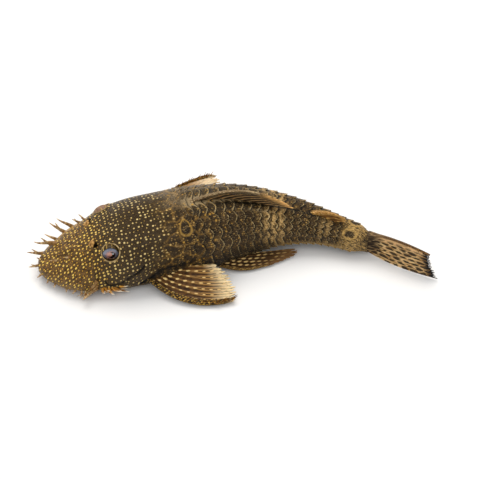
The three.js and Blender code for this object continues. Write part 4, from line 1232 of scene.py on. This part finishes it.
def build_eye(side, skin, ball_material, lid_material, rim_material):
    name = "left" if side < 0 else "right"
    centre, gaze, socket = eye_frame(side)
    centre = centre + socket * BALL_OUT
    # The front is a shallow dome as wide as the ball is at the iris edge
    share = np.linspace(0.01, 1, 30)
    reach = BALL_RADIUS * math.sin(IRIS_EDGE * DEG) * share
    ahead = BALL_RADIUS * math.cos(IRIS_EDGE * DEG) + IRIS_BULGE * (1 - share**2)
    behind = np.linspace(IRIS_EDGE + 4, 178, 14)
    degrees = np.append(np.arctan2(reach, ahead) / DEG, behind)
    radii = np.append(np.hypot(reach, ahead), np.full(len(behind), BALL_RADIUS))
    rings, angles = polar_shell(centre, gaze, zip(degrees, radii))
    points, faces = loft(rings)
    share = np.repeat(np.append(share, np.full(len(behind), 1.1)), len(angles))
    turn = np.tile(angles, len(degrees))
    iris = np.stack([share * np.cos(turn) * side, share * np.sin(turn), share], -1)
    iris = np.vstack([iris, [0, 0, 0], iris[-1]])
    add_mesh(f"eyeball_{name}", points, faces, ball_material, "eye", (f"eye_{name}",), {"iris": iris})

    edge = IRIS_EDGE + 3
    outline = [(edge, BALL_RADIUS - 0.1), (edge - 2.5, BALL_RADIUS + 0.02)]
    outline += [(edge - 3, BALL_RADIUS + 0.09), (edge - 1.5, LID_RADIUS - 0.01), (edge, LID_RADIUS + 0.02)]
    outline += [(a, LID_RADIUS) for a in np.linspace(edge + 2, 150, 26)]
    outline += [(a, BALL_RADIUS - 0.12) for a in np.linspace(150, edge + 2, 12)]
    rings, angles = polar_shell(centre, gaze, outline, 72)
    points, faces = loft(rings, joined=True)
    offset = points - centre
    lid_place = np.stack([offset @ unit(np.cross(gaze, [0, 0, 1.0])), offset[:, 2], offset @ gaze], -1)
    add_mesh(f"eyelid_{name}", points, faces, lid_material, "head_skin", marks={"lid": lid_place})

    across = unit(np.cross(socket, [0, 0, 1.0]))
    up = np.cross(across, socket)
    turn = np.linspace(0, 2 * math.pi, 72, endpoint=False)
    spoke = np.cos(turn)[:, None] * across + np.sin(turn)[:, None] * up
    v = skin.reshape(-1, 3) - centre
    t = v @ socket
    rho = np.linalg.norm(v - t[:, None] * socket, axis=-1)
    near = (t > 0) & (rho > RIM_RADIUS - 0.1) & (rho < RIM_RADIUS + 0.5)
    v, t = v[near], t[near]
    weight = np.exp(((v @ spoke.T) - rho[near][:, None]) * 12)
    level = (weight * t[:, None]).sum(0) / weight.sum(0)
    path = centre + RIM_RADIUS * spoke + (level[:, None] + 0.03) * socket
    tube_turn = np.linspace(0, 2 * math.pi, 12, endpoint=False)
    grid = path[:, None] + RIM_THICK * (
        np.cos(tube_turn)[None, :, None] * spoke[:, None] + np.sin(tube_turn)[None, :, None] * socket
    )
    add_mesh(f"eye_rim_{name}", *loft(grid, joined=True), rim_material, "head_skin")


def eyeball_material():
    m = Shader("eyeball", Roughness=0.35, Coat_Weight=0.7, Coat_Roughness=0.04)
    x, y, share = m.split(m.attribute("iris"))
    spokes = m.noise((x * 3, y * 3), 1.6, 4)
    ring = m.blend(spokes.ramp(0.4, 0.6), "b87868", "857880")
    ring.lay(share.ramp(0.52, 0.72), "777b8c")
    ring.lay(share.ramp(0.6, 0.8) * spokes.ramp(0.5, 0.65), "8a8d99")
    ring.lay(share.ramp(0.9, 1), "2c2a30")

    def disc(centre_x, centre_y, radius):
        dx = x - centre_x
        dy = y - centre_y
        away = m.length(dx, dy)
        return away.ramp(radius, radius - 0.08)

    ring.lay(disc(0.12, 0.04, 0.5), "050406")
    ring.lay(disc(-0.1, 0.14, 0.34), "c88f7c")
    # Painted highlight: a small pale glint on the iris
    ring.lay(disc(0.3, 0.2, 0.14), "c4cbd8")
    m.colour(ring)
    return m.material


def lid_material(low, high):
    m = Shader("eyelid_skin", Roughness=0.45, Specular_IOR_Level=0.25)
    lid = m.attribute("lid")
    closer = m.add("VectorMath", {0: lid, 1: (1.5, 1.5, 1.5)}, operation="MULTIPLY")[0]
    spot, draw, chance, _ = m.spots(closer, 0.22, 0.08)
    base = m.blend(m.noise(lid, 1.2, 3), low, high)
    spot = spot * chance.ramp(0.6, 0.5)
    m.colour(m.blend(spot * 0.8, base, m.blend(draw, "a07a2c", "d2b060")))
    m.bump(m.noise(lid, 4, 3), 0.0001, 0.6)
    return m.material


def plain_skin_material(name, low, high, scale=1400.0):
    m = Shader(name, Roughness=0.45, Specular_IOR_Level=0.25)
    where = m.add("TexCoord")[3]
    mottle = m.noise(where, scale, 4)
    m.colour(m.blend(mottle.ramp(0.3, 0.7), low, high))
    m.bump(m.noise(where, scale * 3, 3), 0.0001, 0.6)
    return m.material


# Nostril flaps
def build_nostril_flaps(material):
    heap = Heap()
    for side in SIDES:
        s, lat = FLAP[0], side * FLAP[1]
        root = place(s, lat, surface_height(s, lat) - 0.35)
        back = unit(place(s + 1, lat, 0) - place(s, lat, 0))
        across = np.array([-back[1], back[0], 0])
        rings = []
        for t in np.linspace(0, 1, 9):
            width = 1.3 * (1 - 0.5 * t**2) * (1 if t < 0.99 else 0.4)
            thick = 0.45 * (1 - 0.6 * t)
            centre = root + np.array([0, 0, 1.55 * t]) + back * (0.25 + 0.75 * t**2)
            angles = np.linspace(0, 2 * math.pi, 14, endpoint=False)
            curl = (np.cos(angles) ** 2 * 0.45)[:, None] * back
            wide, deep = np.cos(angles)[:, None] * across, np.sin(angles)[:, None] * back
            rings.append(centre + wide * width + deep * thick + curl)
        points, faces = loft(np.array(rings))
        heap.take(points, faces, np.zeros((len(points), 3)))
    heap.mesh("nostril_flaps", material, "head_skin")


# Sucker mouth
MOUTH_S, MOUTH_LONG, MOUTH_WIDE = 9.4, 6.6, 7.8


def mouth_point(angle, reach, z):
    s = MOUTH_S + np.cos(angle) * MOUTH_LONG * reach
    return place(s, np.sin(angle) * MOUTH_WIDE * reach, z)


def build_mouth(lip_material, tooth_material):
    around = 120
    angle = np.linspace(0, 2 * math.pi, around, endpoint=False)
    profile = [
        (0.06, 0.62), (0.3, 0.6), (0.5, 0.58), (0.62, 0.5), (0.7, 0.2), (0.76, 0.06), (0.82, 0.01),
        (0.9, 0), (0.965, 0.02), (1, 0.16), (1.01, 0.34), (0.995, 0.55), (0.95, 0.8), (0.8, 0.94),
        (0.3, 0.95),
    ]
    rings = []
    for reach, z in profile:
        rim_fringe = 0.018 * np.sin(angle * 34) * (reach > 0.85)
        inner_fringe = 0.03 * np.sin(angle * 26) * (0.6 < reach < 0.8)
        rings.append(mouth_point(angle, reach * (1 + rim_fringe + inner_fringe) * 0.99, z))
    points, faces = loft(np.array(rings))
    add_mesh("sucker_lips", points, faces, lip_material, "mouth_skin", ("sucker_mouth",))
    random = np.random.default_rng(11)
    turn = random.uniform(0, 2 * math.pi, 420)
    reach = random.uniform(0.74, 0.97, 420)
    roots = mouth_point(turn, reach, 0.3 + 0 * turn)
    down = np.tile([0, 0, -1.0], (420, 1))
    cones("lip_papillae", roots, down, 0.29 + 0 * turn, 0.2 + 0 * turn, lip_material, "mouth_skin", 6)
    teeth, ways = [], []
    for jaw in (-1, 1):
        for k in range(44):
            lat = mix(-2.7, 2.7, k / 43)
            s = MOUTH_S + jaw * (0.85 + 0.13 * lat * lat)
            teeth.append(place(s, lat, 0.62))
            ways.append(place(s - jaw * 0.8, lat, 0) - place(s, lat, 0) + np.array([0, 0, -0.75]))
    size = np.full(len(teeth), 1.0)
    cones("teeth", teeth, ways, 0.62 * size, 0.07 * size, tooth_material, "mouth_skin", 5)


# Studio
def build_studio():
    scene = bpy.context.scene
    floor_mesh = bpy.data.meshes.new("floor")
    half = 3.0
    corners = [(-half, -half, 0), (half, -half, 0), (half, half, 0), (-half, half, 0)]
    floor_mesh.from_pydata(corners, [], [(0, 1, 2, 3)])
    floor = bpy.data.objects.new("floor", floor_mesh)
    floor.location.z = -0.00002
    scene.collection.objects.link(floor)
    paper = Shader("paper", Roughness=0.9, Specular_IOR_Level=0.1)
    paper.skin.inputs["Base Color"].default_value = (0.94, 0.94, 0.94, 1)
    floor_mesh.materials.append(paper.material)

    world = bpy.data.worlds.new("studio")
    world.use_nodes = True
    world.node_tree.nodes["Background"].inputs[0].default_value = (1, 1, 1, 1)
    world.node_tree.nodes["Background"].inputs[1].default_value = 0.8
    world.cycles_visibility.glossy = False
    scene.world = world
    scene.view_settings.view_transform = "Standard"

    light = bpy.data.lights.new("softbox", "AREA")
    light.size = 0.34
    light.energy = 1.5
    light.color = (1.0, 0.95, 0.88)
    lamp = bpy.data.objects.new("softbox", light)
    lamp.location = (-0.06, 0.24, 0.42)
    lamp.rotation_euler = (-lamp.location).to_track_quat("-Z", "Y").to_euler()
    scene.collection.objects.link(lamp)


CAMERA_DISTANCE = 379.6
CAMERA_UP = 45 * DEG
FOCAL_PIXELS, FRAME_PIXELS, SENSOR = 1490, 480, 36.0


def build_camera():
    target = (np.array([0, 0, 8.0]) + SHIFT) * MM
    back = np.array([0, -math.cos(CAMERA_UP), math.sin(CAMERA_UP)])
    data = bpy.data.cameras.new("camera")
    data.sensor_width = SENSOR
    data.lens = SENSOR * FOCAL_PIXELS / FRAME_PIXELS
    data.clip_start = 0.01
    camera = bpy.data.objects.new("camera", data)
    camera.location = target + back * CAMERA_DISTANCE * MM
    camera.rotation_euler = (math.pi / 2 - CAMERA_UP, 0, 0)
    bpy.context.scene.collection.objects.link(camera)
    bpy.context.scene.camera = camera


# The fish
skin_points, skin_out = build_skin(skin_material())
pale_spines = spine_material("plate_spine_bone", ("6a5228", "a88a54"), "e0cfa4", 0.4)
build_plate_spines(skin_points, skin_out, pale_spines)
build_tentacles(tentacle_material())
build_cheek_spines(spine_material("cheek_spine", ("8a5414", "d89a3c"), "fbf0d8", 0.62))
build_nostril_flaps(plain_skin_material("nostril_skin", "7a5226", "d0a058"))

bristles = spine_material("fin_bristle", ("6a4012", "b07a26"), "1c1208", 0.25)
dark_spine = ("20160a", "44311a", "dcae4c")
pale_spine = ("3c2a12", "96744a", "e2c898")
brown_fin = fin_material(
    "brown_fin", ("38200c", "704a1e"), "c0904e", "ffe4b0", "ffd88c", dark_spine, 2.0, 0.34, 0.32
)
# The far pectoral's skin is a lighter copy of the near one's: painted light
far_fin_painted_light = fin_material("far_fin_painted_light", ("4c2c10", "a86c30"), "dca25c", "ffe6bc", "f6d8a0", dark_spine, 2.2)
pelvic_spine = ("4a3216", "6e4e24", "d8b060")
pelvic_skin = fin_material(
    "pelvic_skin", ("2a1a0b", "573a1a"), "6e4c22", "8a6438", "e6c07a", pelvic_spine, 1.7, 0.42, 0.46
)
dorsal_skin = fin_material("dorsal_skin", ("1a1209", "4a3518"), "d4ac70", "eab46a", "dca45c", pale_spine)
gold_spine = ("7c5420", "d49c4c", "f0c47c")
gold_fin = fin_material("adipose_skin", ("553612", "94662a"), "c08a40", "dca858", "d8a858", gold_spine)
pectorals = (("left", PECTORAL_LEFT, brown_fin, 5), ("right", PECTORAL_RIGHT, far_fin_painted_light, 6))
for name, fin, skin, seed in pectorals:
    name = f"pectoral_fin_{name}"
    build_fin_spines(name + "_bristles", *build_fin(name, fin, skin), bristles, seed)
build_fin("pelvic_fin_left", PELVIC_LEFT, pelvic_skin)
build_fin("pelvic_fin_right", PELVIC_RIGHT, pelvic_skin)
build_fin("dorsal_fin", DORSAL, dorsal_skin, forked=False)
build_fin("adipose_fin", ADIPOSE, gold_fin, forked=False)
build_fin("anal_fin", ANAL, brown_fin, forked=False)
tail_form = build_fin("caudal_fin", CAUDAL, tail_fin_material(), 0.03, forked=False)
build_fin_spines("caudal_fin_bristles", *tail_form, bristles, 8, 90, 0.5)

rim_skin = plain_skin_material("rim_skin", "6a5632", "c0a472")
# The near lid is painted darker and the far lid lighter: painted light, lit and shaded copies of one skin
for eye_side, low, high in ((LEFT, "2a2010", "5a441e"), (RIGHT, "5a4030", "b08a70")):
    build_eye(eye_side, skin_points, eyeball_material(), lid_material(low, high), rim_skin)
tooth = spine_material("tooth", ("c9a060", "d8b478"), "8a4a18")
build_mouth(plain_skin_material("lip_skin", "8a6a50", "c0a080"), tooth)

build_studio()
build_camera()
